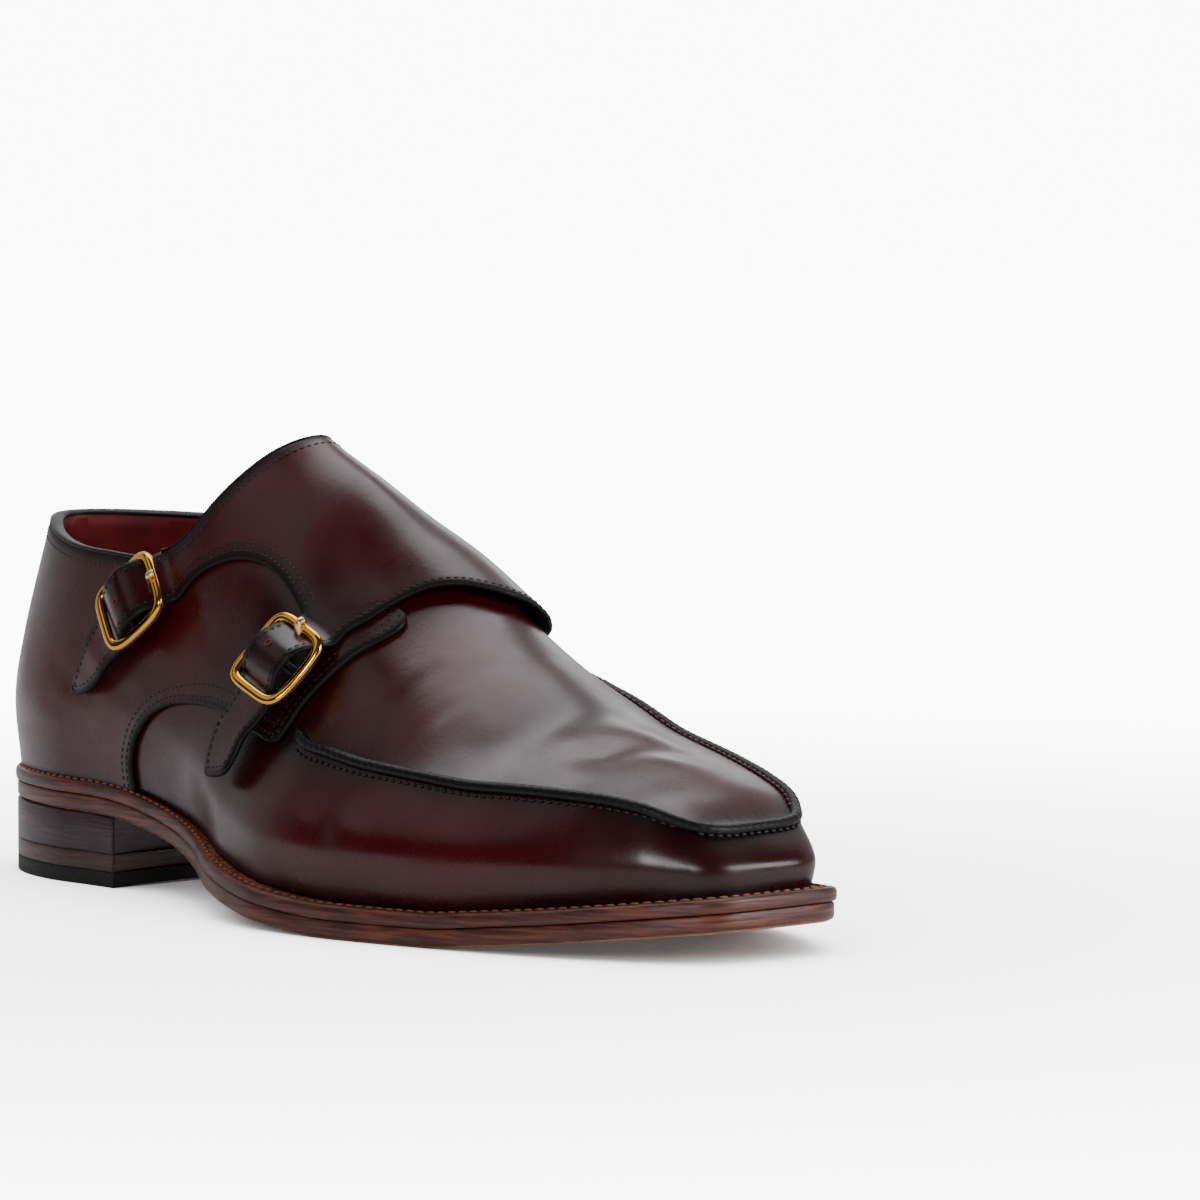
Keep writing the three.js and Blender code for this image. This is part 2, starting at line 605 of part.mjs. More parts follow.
// A block between two heights over a grid, used for cutting
function block(xs, ys, low, high) {
  const list = [];
  const lowAt = (i, j) => V(xs[i], ys[j], low(xs[i], ys[j]));
  const highAt = (i, j) => V(xs[i], ys[j], high(xs[i], ys[j]));
  const [m, n] = [xs.length - 1, ys.length - 1];
  for (let i = 0; i < m; i += 1) {
    for (let j = 0; j < n; j += 1) {
      quad(list, highAt(i, j), highAt(i + 1, j), highAt(i + 1, j + 1), highAt(i, j + 1));
      quad(list, lowAt(i, j), lowAt(i, j + 1), lowAt(i + 1, j + 1), lowAt(i + 1, j));
    }
    quad(list, lowAt(i, 0), lowAt(i + 1, 0), highAt(i + 1, 0), highAt(i, 0));
    quad(list, lowAt(i + 1, n), lowAt(i, n), highAt(i, n), highAt(i + 1, n));
  }
  for (let j = 0; j < n; j += 1) {
    quad(list, lowAt(0, j + 1), lowAt(0, j), highAt(0, j), highAt(0, j + 1));
    quad(list, lowAt(m, j), lowAt(m, j + 1), highAt(m, j + 1), highAt(m, j));
  }
  return solid(list);
}

const WIDE = BALL_WIDTH;
const TALL = 2.6 * INSTEP_HEIGHT;

function belowWelt(gap) {
  const xs = [];
  for (let k = 0; k <= 2 * STATIONS; k += 1) xs.push(LAST_LENGTH * (-0.1 + (0.6 * k) / STATIONS));
  return block(xs, [-WIDE, WIDE], () => -TALL, (x) => weltTopAt(x) + gap);
}

// What the collar leaves open, lower on the lateral side than on the medial side
function aboveTopline() {
  const xs = TOPLINE.map((row) => row.at * LAST_LENGTH);
  const band = COLLAR_BLEND * BALL_WIDTH;
  const ys = [-WIDE, -band, -band / 2, 0, band / 2, band, WIDE];
  const edge = (x, y) => {
    const at = x / LAST_LENGTH;
    const blend = soft(y, -band, band);
    const up = curve(TOPLINE, "lateral", at) * (1 - blend) + curve(TOPLINE, "medial", at) * blend;
    return weltTopAt(x) + up * INSTEP_HEIGHT;
  };
  return block(xs, ys, edge, () => TALL);
}

function sidePoints(rows) {
  return rows.map((row) => {
    const x = row.at * LAST_LENGTH;
    return [x, weltTopAt(x) + row.up * INSTEP_HEIGHT];
  });
}

// An outline seen from the side, cut through the shoe from the line y across to its side
function sidePrism(points, y, side) {
  const shape = new THREE.Shape(points.map(([x, z]) => new THREE.Vector2(x, z)));
  const prism = new THREE.ExtrudeGeometry(shape, { depth: WIDE, bevelEnabled: false });
  prism.rotateX(Math.PI / 2);
  prism.translate(0, y + (side > 0 ? WIDE : 0), 0);
  return fromGeometry(prism);
}

// How far the leather layers lie off the last
const QUARTER_LIFT = CLEARANCE;
const FLAP_LIFT = QUARTER_LIFT + LEATHER + CLEARANCE;
const STRAP_LIFT = FLAP_LIFT + 2 * BAR_WIRE + 3 * CLEARANCE;

// A buckle's own maps: u runs down the strap from the centre bar, v across it. on goes over the last,
// and flat is the frame's own plane, which stands BUCKLE_STAND off it.
function buckleMap({ along, around, lean, face }) {
  const middle = sectionPoint(along, around);
  const normal = surfaceNormal(along, around);
  const small = 0.002;
  const stepA = sectionPoint(along + small, around).sub(middle).divideScalar(small);
  const stepT = sectionPoint(along, around + small).sub(middle).divideScalar(small);
  const inPlane = (n) => V(...lean).addScaledVector(n, -V(...lean).dot(n)).normalize();
  const down = inPlane(normal);
  const across = normal.clone().cross(down);
  const [aa, at, tt] = [stepA.dot(stepA), stepA.dot(stepT), stepT.dot(stepT)];
  const spread = aa * tt - at * at;
  const on = (u, v, lift) => {
    const d = down.clone().multiplyScalar(u).addScaledVector(across, v);
    const [da, dt] = [d.dot(stepA), d.dot(stepT)];
    return onSurface(along + (da * tt - dt * at) / spread, around + (dt * aa - da * at) / spread, lift);
  };
  const axisZ = V(...face).normalize();
  const axisU = inPlane(axisZ);
  const axisV = axisZ.clone().cross(axisU);
  const heart = middle.clone().addScaledVector(normal, BUCKLE_STAND);
  const flat = (u, v, lift) =>
    heart.clone().addScaledVector(axisU, u).addScaledVector(axisV, v).addScaledVector(axisZ, lift);
  const from = (a, t) => {
    const d = stepA.clone().multiplyScalar(a - along).addScaledVector(stepT, t - around);
    return [d.dot(down), Math.abs(d.dot(across))];
  };
  return { on, flat, from };
}

const places = BUCKLES.map(buckleMap);

// The flap lies on the lateral quarter, stands a little off at its front edge, and its straps rise over the bars
function flapLift(a, t) {
  const back = soft(a, 0.02, 0.12);
  const over = soft(-t, -0.05, 0.1) * back;
  const front = soft(a, 0.42, 0.58) * soft(t, -0.25, -0.08) * (1 - soft(t, 0.42, 0.64));
  let strap = 0;
  for (const { from } of places) {
    const [u, v] = from(a, t);
    strap += (soft(u, -14, -6) - soft(u, 26, 46)) * (1 - soft(v, 12, 24));
  }
  return QUARTER_LIFT + (FLAP_LIFT - QUARTER_LIFT) * over + (STRAP_LIFT - FLAP_LIFT) * strap + FLAP_RISE * front;
}

function circle(radius) {
  const shape = new THREE.Shape();
  for (let k = 0; k < WIRE_FACETS; k += 1) {
    const angle = (2 * Math.PI * k) / WIRE_FACETS;
    const [x, y] = [radius * Math.cos(angle), radius * Math.sin(angle)];
    if (k === 0) shape.moveTo(x, y);
    else shape.lineTo(x, y);
  }
  shape.closePath();
  return shape;
}

function wire(points, radius, steps) {
  const path = new THREE.CatmullRomCurve3(points, false, "centripetal");
  const options = { steps, extrudePath: path, bevelEnabled: false };
  return fromGeometry(new THREE.ExtrudeGeometry(circle(radius), options));
}

const BAR_LIFT = FLAP_LIFT + CLEARANCE + BAR_WIRE;

// The frame is a flat rounded oblong, a little bowed, with a bar that dips under the strap
function buckleFrame({ on, flat }) {
  const [halfU, halfV] = [BUCKLE_LENGTH / 2, BUCKLE_WIDTH / 2];
  const points = [];
  const turns = 32;
  for (let k = 0; k < turns; k += 1) {
    const angle = (2 * Math.PI * k) / turns;
    const squareness = (Math.abs(Math.cos(angle)) ** 5 + Math.abs(Math.sin(angle)) ** 5) ** (-1 / 5);
    const [u, v] = [halfU * squareness * Math.cos(angle), halfV * squareness * Math.sin(angle)];
    points.push(flat(u, v, BUCKLE_BOW * ((u / halfU) ** 2 - 1)));
  }
  const path = new THREE.CatmullRomCurve3(points, true, "centripetal");
  const frame = fromGeometry(new THREE.TubeGeometry(path, turns, BUCKLE_WIRE, WIRE_FACETS, true));
  const legV = BUCKLE_WIDTH / 2 - CLEARANCE;
  const ends = [-1, 1].map((s) => [flat(0, s * halfV, -BUCKLE_BOW), on(0, s * legV, BAR_LIFT)]);
  const middle = [-0.5, 0, 0.5].map((s) => on(0, s * legV, BAR_LIFT));
  const bar = wire([...ends[0], ...middle, ...ends[1].reverse()], BAR_WIRE, 14);
  return frame.add(bar);
}

// The prong leaves the bar through the strap and rests on the frame's end toward the instep
function prongPoints({ on, flat }) {
  const reach = BUCKLE_LENGTH / 2;
  const rest = BUCKLE_WIRE + CLEARANCE + PRONG_WIRE;
  const rise = on(-0.16 * reach, 0, STRAP_LIFT + LEATHER + CLEARANCE + PRONG_WIRE);
  const landing = flat(-reach, 0, rest);
  return [
    on(0, 0, BAR_LIFT + BAR_WIRE + CLEARANCE + PRONG_WIRE),
    rise,
    rise.clone().lerp(landing, 0.5),
    landing,
    flat(-1.18 * reach, 0, rest - PRONG_WIRE),
  ];
}

function prongHole(maps) {
  const [root, rise, middle] = prongPoints(maps);
  const below = maps.on(0.04 * BUCKLE_LENGTH, 0, BAR_LIFT);
  return wire([below, root, rise, middle], PRONG_WIRE + 2 * CLEARANCE, 6);
}

// The edges of a strap from the side: down its front edge, round its loose end and back up
function strapEdges({ on }, rows) {
  const half = STRAP_WIDTH / 2;
  const top = -0.56 * BUCKLE_LENGTH;
  const edge = (sign) => [
    [top, sign * half],
    [0, sign * half],
    ...rows.map((row) => [row.down * BUCKLE_LENGTH, (row.middle + sign * row.half) * STRAP_WIDTH]),
  ];
  return [...edge(1), ...edge(-1).reverse()].map(([u, v]) => {
    const p = on(u, v, STRAP_LIFT);
    return [p.x, p.z];
  });
}

// The leather tab that holds a buckle's bar, lying between the quarter and the strap
function buckleTab({ on }) {
  const [from, to] = [BAR_WIRE + 2 * CLEARANCE, 0.38 * BUCKLE_LENGTH];
  const half = 0.3 * BUCKLE_WIDTH;
  const steps = 3;
  const net = [FLAP_LIFT, FLAP_LIFT + LEATHER].map((lift) => {
    const rows = [];
    for (let i = 0; i <= steps; i += 1) {
      const u = from + ((to - from) * i) / steps;
      rows.push([-half, 0, half].map((v) => on(u, v, lift)));
    }
    return rows;
  });
  const [low, high] = net;
  const list = [];
  for (let i = 0; i < steps; i += 1) {
    for (let j = 0; j < 2; j += 1) {
      quad(list, high[i][j], high[i + 1][j], high[i + 1][j + 1], high[i][j + 1]);
      quad(list, low[i][j], low[i][j + 1], low[i + 1][j + 1], low[i + 1][j]);
    }
    quad(list, low[i][0], low[i + 1][0], high[i + 1][0], high[i][0]);
    quad(list, low[i + 1][2], low[i][2], high[i][2], high[i + 1][2]);
  }
  for (let j = 0; j < 2; j += 1) {
    quad(list, low[0][j + 1], low[0][j], high[0][j], high[0][j + 1]);
    quad(list, low[steps][j], low[steps][j + 1], high[steps][j + 1], high[steps][j]);
  }
  return solid(list);
}

const group = new THREE.Group();

function place(name, body, look) {
  const mesh = body.getMesh();
  const geometry = new THREE.BufferGeometry();
  geometry.setAttribute("position", new THREE.BufferAttribute(new Float32Array(mesh.vertProperties), 3));
  geometry.setIndex(Array.from(mesh.triVerts));
  geometry.computeVertexNormals();
  const part = new THREE.Mesh(geometry, new THREE.MeshStandardMaterial(look));
  part.name = name;
  group.add(part);
}

const under = belowWelt(LAYER_GAP);
const open = aboveTopline();

// Upper: vamp with its tongue, lined, one hollow shell open at the collar and underneath
const inside = lastAt(() => -LINING_WALL);
const upper = lastAt(() => 0).subtract(inside).subtract(under).subtract(open);
place("upper", upper, LEATHER_LOOK);

// Quarters: cut from the space between two lasts, over the shell
const heelEnd = [[-WIDE, TALL], [-WIDE, -TALL], [WAIST_SEAM * LAST_LENGTH, -TALL]];
const quarterSpace = lastAt(() => QUARTER_LIFT + LEATHER).subtract(lastAt(() => QUARTER_LIFT));
const lateralPoints = [...sidePoints(LATERAL_QUARTER), [QUARTER_INSTEP * LAST_LENGTH, TALL], ...heelEnd];
const lateralRegion = sidePrism(lateralPoints, -CLEARANCE, -1);
const lateralQuarter = quarterSpace.intersect(lateralRegion).subtract(under).subtract(open);
place("lateral_quarter", lateralQuarter, LEATHER_LOOK);

// The medial quarter goes on over the instep as the flap and ends in the two straps
const flapTop = [FLAP_THROAT * LAST_LENGTH, TALL];
const medialPoints = [...sidePoints(MEDIAL_QUARTER), flapTop, ...heelEnd];
const flapPoints = [
  ...sidePoints(FLAP_FRONT),
  ...strapEdges(places[0], TAILS.front),
  ...sidePoints(FLAP_ARCH),
  ...strapEdges(places[1], TAILS.rear),
  ...sidePoints(FLAP_BACK),
  [FLAP_ANKLE * LAST_LENGTH, TALL],
  flapTop,
];
const flapRegion = sidePrism(medialPoints, 0, 1).add(sidePrism(flapPoints, 0, -1));
const flapSpace = lastAt((a, t) => flapLift(a, t) + LEATHER).subtract(lastAt(flapLift));
let flap = flapSpace.intersect(flapRegion).subtract(under).subtract(open);
for (const maps of places) flap = flap.subtract(prongHole(maps));
place("medial_quarter_and_flap", flap, LEATHER_LOOK);

// Apron seam: a raised bead along the shoulder, round the nose
const beadPath = [];
const beadSteps = 16;
const beadAt = (start, k) => start + ((BEAD_FRONT - start) * k) / beadSteps;
for (let k = 0; k <= beadSteps; k += 1) beadPath.push(onSurface(beadAt(BEAD_LATERAL, k), -0.5, CLEARANCE));
for (const column of NET.nose) beadPath.push(column[NET.wall].p.clone().add(V(CLEARANCE, 0, CLEARANCE)));
for (let k = beadSteps; k >= 0; k -= 1) beadPath.push(onSurface(beadAt(BEAD_MEDIAL, k), 0.5, CLEARANCE));
const bead = wire(beadPath, SEAM_BEAD, 48).subtract(lastAt(() => CLEARANCE));
place("apron_seam", bead, DARK_LOOK);

// Bottom: insole with the filling under it, welt, outsole and the heel's layers
const level = (edge, height) => atHeight(outline(edge, false), height);
const ringEdge = soleEdge(WELT_EDGE + WELT_SEAT);
const fillEdge = soleEdge(WELT_EDGE + WELT_SEAT + CLEARANCE);
const insoleEdge = insideEdge(LINING_WALL + 2 * CLEARANCE);
const fillBottom = (x) => undersideAt(x) + OUTSOLE_THICKNESS + LAYER_GAP;
const insoleBottom = (x) => weltTopAt(x) + LAYER_GAP;
const insole = layer([
  level(fillEdge, fillBottom),
  level(fillEdge, insoleBottom),
  level(insoleEdge, insoleBottom),
  level(insoleEdge, (x) => insoleBottom(x) + INSOLE_THICKNESS),
]);
place("insole", insole, LINING_LOOK);

const weltBevel = 0.6;
const welt = ring([
  level(soleEdge(0), fillBottom),
  level(soleEdge(0), (x) => weltTopAt(x) - weltBevel),
  level(soleEdge(weltBevel), weltTopAt),
  level(ringEdge, weltTopAt),
  level(ringEdge, fillBottom),
]);
place("welt", welt, SOLE_LOOK);

const solePull = 0.5;
const soleBevel = 1;
const outsole = layer([
  level(soleEdge(solePull + soleBevel), undersideAt),
  level(soleEdge(solePull), (x) => undersideAt(x) + soleBevel),
  level(soleEdge(solePull), (x) => undersideAt(x) + OUTSOLE_THICKNESS),
]);
place("outsole", outsole, SOLE_LOOK);

const heelLevel = (height) => atHeight(outline(soleEdge(solePull), true), height);
const liftTop = TOP_PIECE_THICKNESS + LIFT_THICKNESS;
const blockTop = heelLevel((x) => undersideAt(x) - LAYER_GAP);
place("heel_block", layer([heelLevel(() => liftTop), blockTop]), STACK_LOOK);
place("heel_lift", layer([heelLevel(() => TOP_PIECE_THICKNESS), heelLevel(() => liftTop)]), SOLE_LOOK);
place("heel_top_piece", layer([heelLevel(() => 0), heelLevel(() => TOP_PIECE_THICKNESS)]), RUBBER_LOOK);

BUCKLES.forEach(({ name }, k) => {
  place(`buckle_${name}`, buckleFrame(places[k]), GOLD_LOOK);
  place(`buckle_prong_${name}`, wire(prongPoints(places[k]), PRONG_WIRE, 10), GOLD_LOOK);
  place(`buckle_tab_${name}`, buckleTab(places[k]), DARK_LOOK);
});

// The origin is on the floor, under the middle of the whole shoe
const bounds = new THREE.Box3().setFromObject(group);
const middle = bounds.getCenter(V(0, 0, 0));
for (const part of group.children) part.geometry.translate(-middle.x, -middle.y, 0);

export default group;
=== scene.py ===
import math

import bpy
import numpy as np
from mathutils import Matrix, Vector
from mathutils.geometry import delaunay_2d_cdt


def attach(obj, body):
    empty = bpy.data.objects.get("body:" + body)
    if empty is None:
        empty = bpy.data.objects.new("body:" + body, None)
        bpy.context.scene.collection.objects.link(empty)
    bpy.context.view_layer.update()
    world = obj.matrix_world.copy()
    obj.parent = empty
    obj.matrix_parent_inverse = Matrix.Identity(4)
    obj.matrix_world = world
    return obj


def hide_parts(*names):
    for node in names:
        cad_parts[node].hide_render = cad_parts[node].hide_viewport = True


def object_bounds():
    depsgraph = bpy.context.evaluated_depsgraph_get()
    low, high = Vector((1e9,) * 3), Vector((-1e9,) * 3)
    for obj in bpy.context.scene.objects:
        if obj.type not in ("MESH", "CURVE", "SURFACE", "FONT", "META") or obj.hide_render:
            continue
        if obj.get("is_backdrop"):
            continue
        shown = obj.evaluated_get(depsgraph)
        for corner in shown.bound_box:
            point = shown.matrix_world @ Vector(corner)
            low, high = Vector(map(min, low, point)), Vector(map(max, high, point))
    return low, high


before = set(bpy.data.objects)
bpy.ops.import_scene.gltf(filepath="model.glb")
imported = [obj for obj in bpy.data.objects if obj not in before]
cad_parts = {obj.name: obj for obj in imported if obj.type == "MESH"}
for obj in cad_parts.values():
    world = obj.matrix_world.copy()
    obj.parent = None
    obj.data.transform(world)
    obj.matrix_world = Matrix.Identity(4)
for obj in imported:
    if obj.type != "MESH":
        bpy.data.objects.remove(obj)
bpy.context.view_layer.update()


# Camera, at the photo's angle: its place in millimetres from the back of the heel, moved to the
# frame's origin under the middle of the shoe, and its yaw, pitch and roll.
ORIGIN = np.array([153.014, -8.061, 0.0])
camera_data = bpy.data.cameras.new("camera")
camera_data.lens = 182.9
camera_data.sensor_width = 36
camera_data.clip_end = 20
camera = bpy.data.objects.new("camera", camera_data)
bpy.context.collection.objects.link(camera)
yaw, pitch, roll = math.radians(46.41), math.radians(4.085), 0.0016
back = Vector((math.sin(yaw) * math.cos(pitch), -math.cos(yaw) * math.cos(pitch), math.sin(pitch)))
right = Vector((math.cos(yaw), math.sin(yaw), 0))
turn = Matrix((right, back.cross(right), back)).transposed().to_4x4() @ Matrix.Rotation(roll, 4, "Z")
camera_at = (np.array([1381.6, -1093.3, 200.8]) - ORIGIN) / 1000
camera.matrix_world = Matrix.Translation(Vector(camera_at)) @ turn
bpy.context.scene.camera = camera


# Materials: a hex colour becomes linear light, and one function adds a node with its settings and links.
# A Map Range's inputs are its value, the range it comes from and the range it goes to.
SMOOTH = {"interpolation_type": "SMOOTHSTEP"}
RGBA = {"data_type": "RGBA"}


def hexcolor(code):
    channels = [int(code[k : k + 2], 16) / 255 for k in (0, 2, 4)]
    return (*[c / 12.92 if c <= 0.04045 else ((c + 0.055) / 1.055) ** 2.4 for c in channels], 1)


def add(tree, kind, inputs=None, **settings):
    """A node. An input is a value, a socket, or a node that is linked by its first output in use."""
    made = tree.nodes.new(kind)
    for key, value in settings.items():
        setattr(made, key, value)
    for key, value in (inputs or {}).items():
        if isinstance(key, int):
            socket = made.inputs[key]
        else:
            socket = [i for i in made.inputs if i.name == key and i.enabled][0]
        if isinstance(value, bpy.types.Node):
            value = [out for out in value.outputs if out.enabled][0]
        if isinstance(value, bpy.types.NodeSocket):
            tree.links.new(value, socket)
        else:
            socket.default_value = value
    return made


def new_material(name):
    made = bpy.data.materials.new(name)
    made.use_nodes = True
    made.node_tree.nodes.clear()
    return made, made.node_tree


def finish_material(tree, inputs, bump=None, depth=0.0):
    """The shader and its output; bump is lifted by depth metres."""
    if bump is not None:
        lifted = add(tree, "ShaderNodeBump", {"Height": bump, "Distance": depth, "Strength": 1.0})
        inputs = {**inputs, "Normal": lifted}
    add(tree, "ShaderNodeOutputMaterial", {"Surface": add(tree, "ShaderNodeBsdfPrincipled", inputs)})


# Floor and light: white paper that curves up far behind the shoe. It glows with painted light, more away from
# the shoe, for the eye and not for the shoe, and a painted contact shadow dims the glow where the shoe stands
# close over it. A broad soft box stands above and behind, and four weaker ones on the left, on the right, in
# front and low behind.
floor_mesh = bpy.data.meshes.new("floor")
rows = [(-14.0, 0.0), (0.85, 0.0), (1.2, 0.06), (1.6, 0.4), (1.8, 1.2), (1.85, 3.0)]
flat_back = Vector((-math.sin(yaw), math.cos(yaw), 0))
floor_points = [flat_back * d + right * s + Vector((0, 0, z)) for d, z in rows for s in (-14, 14)]
floor_faces = [(2 * k, 2 * k + 1, 2 * k + 3, 2 * k + 2) for k in range(len(rows) - 1)]
floor_mesh.from_pydata(floor_points, [], floor_faces)
floor_mesh.shade_smooth()
floor = bpy.data.objects.new("floor", floor_mesh)
bpy.context.collection.objects.link(floor)
floor_look, tree = new_material("white_paper")
floor_at = add(tree, "ShaderNodeTexCoord").outputs["Object"]
from_shoe = add(tree, "ShaderNodeVectorMath", {0: floor_at}, operation="LENGTH")
floor_painted_glow = add(tree, "ShaderNodeMapRange", {0: from_shoe, 1: 0.1, 2: 0.7, 3: 4.0, 4: 10.0}, **SMOOTH)
# Painted contact shadow: ambient occlusion dims the floor's glow beside and under the shoe.
open_sky = add(tree, "ShaderNodeAmbientOcclusion", {"Distance": 0.06}, samples=8).outputs["AO"]
painted_contact_shadow = add(tree, "ShaderNodeMapRange", {0: open_sky, 1: 0.1, 2: 0.95, 3: 0.02, 4: 1.0}, **SMOOTH)
floor_painted_glow = add(tree, "ShaderNodeMath", {0: floor_painted_glow, 1: painted_contact_shadow}, operation="MULTIPLY")
seen = add(tree, "ShaderNodeLightPath").outputs["Is Camera Ray"]
share = add(tree, "ShaderNodeMapRange", {0: seen, 3: 0.03, 4: 1.0}, **SMOOTH)
floor_painted_glow = add(tree, "ShaderNodeMath", {0: floor_painted_glow, 1: share}, operation="MULTIPLY")
finish_material(
    tree,
    {
        "Base Color": hexcolor("f4f4f4"),
        "Roughness": 0.7,
        "Emission Color": hexcolor("fbfcff"),
        "Emission Strength": floor_painted_glow,
    },
)
floor_mesh.materials.append(floor_look)
floor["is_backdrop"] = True

world = bpy.data.worlds.new("studio")
world.use_nodes = True
world.node_tree.nodes["Background"].inputs["Color"].default_value = hexcolor("f4f6fa")
world.node_tree.nodes["Background"].inputs["Strength"].default_value = 0.04
bpy.context.scene.world = world

# Metres behind the shoe, to its right and above it, then width, height and watts.
SOFT_BOXES = {
    "soft_box_top": (0.5, 0, 1.2, 1.3, 0.7, 10),
    "soft_box_left": (-0.1, -0.95, 0.95, 0.7, 0.6, 0.8),
    "soft_box_right": (-0.48, 1.03, 0.42, 0.6, 0.5, 9),
    "soft_box_front": (-1.16, -0.34, 0.45, 0.35, 0.3, 4),
    "soft_box_back": (1.2, 0, 0.45, 1.2, 0.3, 1.8),
}
for name, (behind, beside, above, width, height, power) in SOFT_BOXES.items():
    lamp = bpy.data.lights.new(name, "AREA")
    lamp.shape = "RECTANGLE"
    lamp.size, lamp.size_y = width, height
    lamp.energy = power
    lamp.color = (0.95, 0.96, 1.0)
    box = bpy.data.objects.new(name, lamp)
    bpy.context.collection.objects.link(box)
    from_middle = flat_back * behind + right * beside + Vector((0, 0, above))
    box.location = from_middle + Vector((0, 0, 0.05))
    box.rotation_euler = (-from_middle).to_track_quat("-Z", "Y").to_euler()


# The last that every piece of the upper is made on: five rails on each side, from the welt up to the
# ridge over the instep. Sizes in millimetres.
LAST, BALL, INSTEP = 300, 100, 100
HEEL, TOE_SPRING = 20.8, 8.7
OUTSOLE, WELT = 5, 4

# back, lateral, medial and front: where a rail starts, its two toe corners and its nose, and round the
# length over which the heel closes, all as shares of LAST. Rows: at as a share of LAST, lateral half
# width of BALL and its height of INSTEP over the welt, then the same for the medial side.
RAILS = {
    "feather": {
        "back": 0.012, "lateral": 0.972, "medial": 0.985, "front": 0.997, "round": 0.153,
        "rows": [
            (0.017, 0.265, 0, 0.265, 0),
            (0.133, 0.275, 0, 0.275, 0),
            (0.25, 0.285, 0, 0.25, 0),
            (0.35, 0.34, 0, 0.225, 0),
            (0.4, 0.395, 0, 0.228, 0),
            (0.45, 0.475, 0, 0.235, 0),
            (0.5, 0.53, 0, 0.265, 0),
            (0.55, 0.56, 0, 0.305, 0),
            (0.633, 0.55, 0, 0.38, 0),
            (0.717, 0.51, 0, 0.42, 0),
            (0.8, 0.45, 0, 0.405, 0),
            (0.873, 0.38, 0, 0.345, 0),
            (0.933, 0.3, 0, 0.255, 0),
            (0.97, 0.245, 0, 0.185, 0),
            (1, 0.22, 0, 0.155, 0),
        ],
    },
    "bulge": {
        "back": 0.007, "lateral": 0.972, "medial": 0.988, "front": 0.998, "round": 0.153,
        "rows": [
            (0.017, 0.28, 0.205, 0.28, 0.205),
            (0.133, 0.29, 0.187, 0.285, 0.187),
            (0.25, 0.31, 0.167, 0.285, 0.167),
            (0.35, 0.355, 0.17, 0.285, 0.18),
            (0.45, 0.47, 0.16, 0.315, 0.19),
            (0.55, 0.565, 0.155, 0.385, 0.185),
            (0.633, 0.57, 0.157, 0.43, 0.177),
            (0.717, 0.535, 0.154, 0.445, 0.164),
            (0.8, 0.475, 0.136, 0.42, 0.141),
            (0.873, 0.4, 0.116, 0.36, 0.121),
            (0.933, 0.315, 0.095, 0.27, 0.1),
            (0.97, 0.245, 0.082, 0.2, 0.085),
            (1, 0.22, 0.07, 0.165, 0.075),
        ],
    },
    "shoulder": {
        "back": 0.015, "lateral": 0.96, "medial": 0.96, "front": 0.97, "round": 0.153,
        "rows": [
            (0.017, 0.255, 0.38, 0.255, 0.38),
            (0.133, 0.27, 0.365, 0.27, 0.37),
            (0.25, 0.3, 0.345, 0.28, 0.395),
            (0.35, 0.33, 0.35, 0.285, 0.47),
            (0.45, 0.38, 0.36, 0.3, 0.53),
            (0.517, 0.42, 0.36, 0.315, 0.54),
            (0.6, 0.455, 0.35, 0.345, 0.55),
            (0.683, 0.44, 0.34, 0.36, 0.49),
            (0.77, 0.395, 0.32, 0.345, 0.395),
            (0.847, 0.335, 0.295, 0.31, 0.325),
            (0.893, 0.295, 0.268, 0.275, 0.28),
            (0.93, 0.255, 0.228, 0.24, 0.233),
            (0.96, 0.2, 0.165, 0.197, 0.172),
        ],
    },
    "upper": {
        "back": 0.044, "lateral": 0.96, "medial": 0.96, "front": 0.97, "round": 0.14,
        "rows": [
            (0.044, 0.195, 0.7, 0.195, 0.7),
            (0.133, 0.22, 0.685, 0.23, 0.695),
            (0.25, 0.245, 0.655, 0.255, 0.685),
            (0.35, 0.25, 0.71, 0.245, 0.77),
            (0.45, 0.25, 0.74, 0.225, 0.84),
            (0.517, 0.245, 0.69, 0.205, 0.825),
            (0.6, 0.235, 0.615, 0.195, 0.725),
            (0.683, 0.23, 0.52, 0.195, 0.58),
            (0.77, 0.205, 0.42, 0.18, 0.45),
            (0.847, 0.175, 0.353, 0.16, 0.36),
            (0.893, 0.15, 0.305, 0.14, 0.308),
            (0.93, 0.125, 0.251, 0.12, 0.253),
            (0.96, 0.1, 0.178, 0.1, 0.182),
        ],
    },
    "crown": {
        "back": 0.073, "lateral": 0.96, "medial": 0.96, "front": 0.97, "round": 0,
        "rows": [
            (0.073, 0, 1.3, 0, 0),
            (0.167, -0.01, 1.277, 0, 0),
            (0.25, -0.01, 1.226, 0, 0),
            (0.35, -0.01, 1.115, 0, 0),
            (0.413, -0.015, 1.042, 0, 0),
            (0.467, -0.02, 0.987, 0, 0),
            (0.533, -0.025, 0.87, 0, 0),
            (0.6, -0.025, 0.748, 0, 0),
            (0.65, -0.02, 0.664, 0, 0),
            (0.687, -0.015, 0.61, 0, 0),
            (0.727, -0.01, 0.544, 0, 0),
            (0.77, 0, 0.478, 0, 0),
            (0.817, 0, 0.417, 0, 0),
            (0.86, 0, 0.369, 0, 0),
            (0.9, 0, 0.314, 0, 0),
            (0.933, 0, 0.253, 0, 0),
            (0.96, 0, 0.184, 0, 0),
        ],
    },
}
HALF = ["feather", "bulge", "shoulder", "upper", "crown"]

# The underside along the shoe: at, then shares of HEEL and of TOE_SPRING.
UNDERSIDE = [
    (0, 1, 0),
    (0.133, 0.98, 0),
    (0.233, 0.93, 0),
    (0.333, 0.7, 0),
    (0.433, 0.4, 0),
    (0.533, 0.14, 0),
    (0.61, 0.02, 0),
    (0.65, 0, 0),
    (0.74, 0, 0),
    (0.8, 0, 0.16),
    (0.873, 0, 0.41),
    (0.94, 0, 0.68),
    (1.02, 0, 1),
]


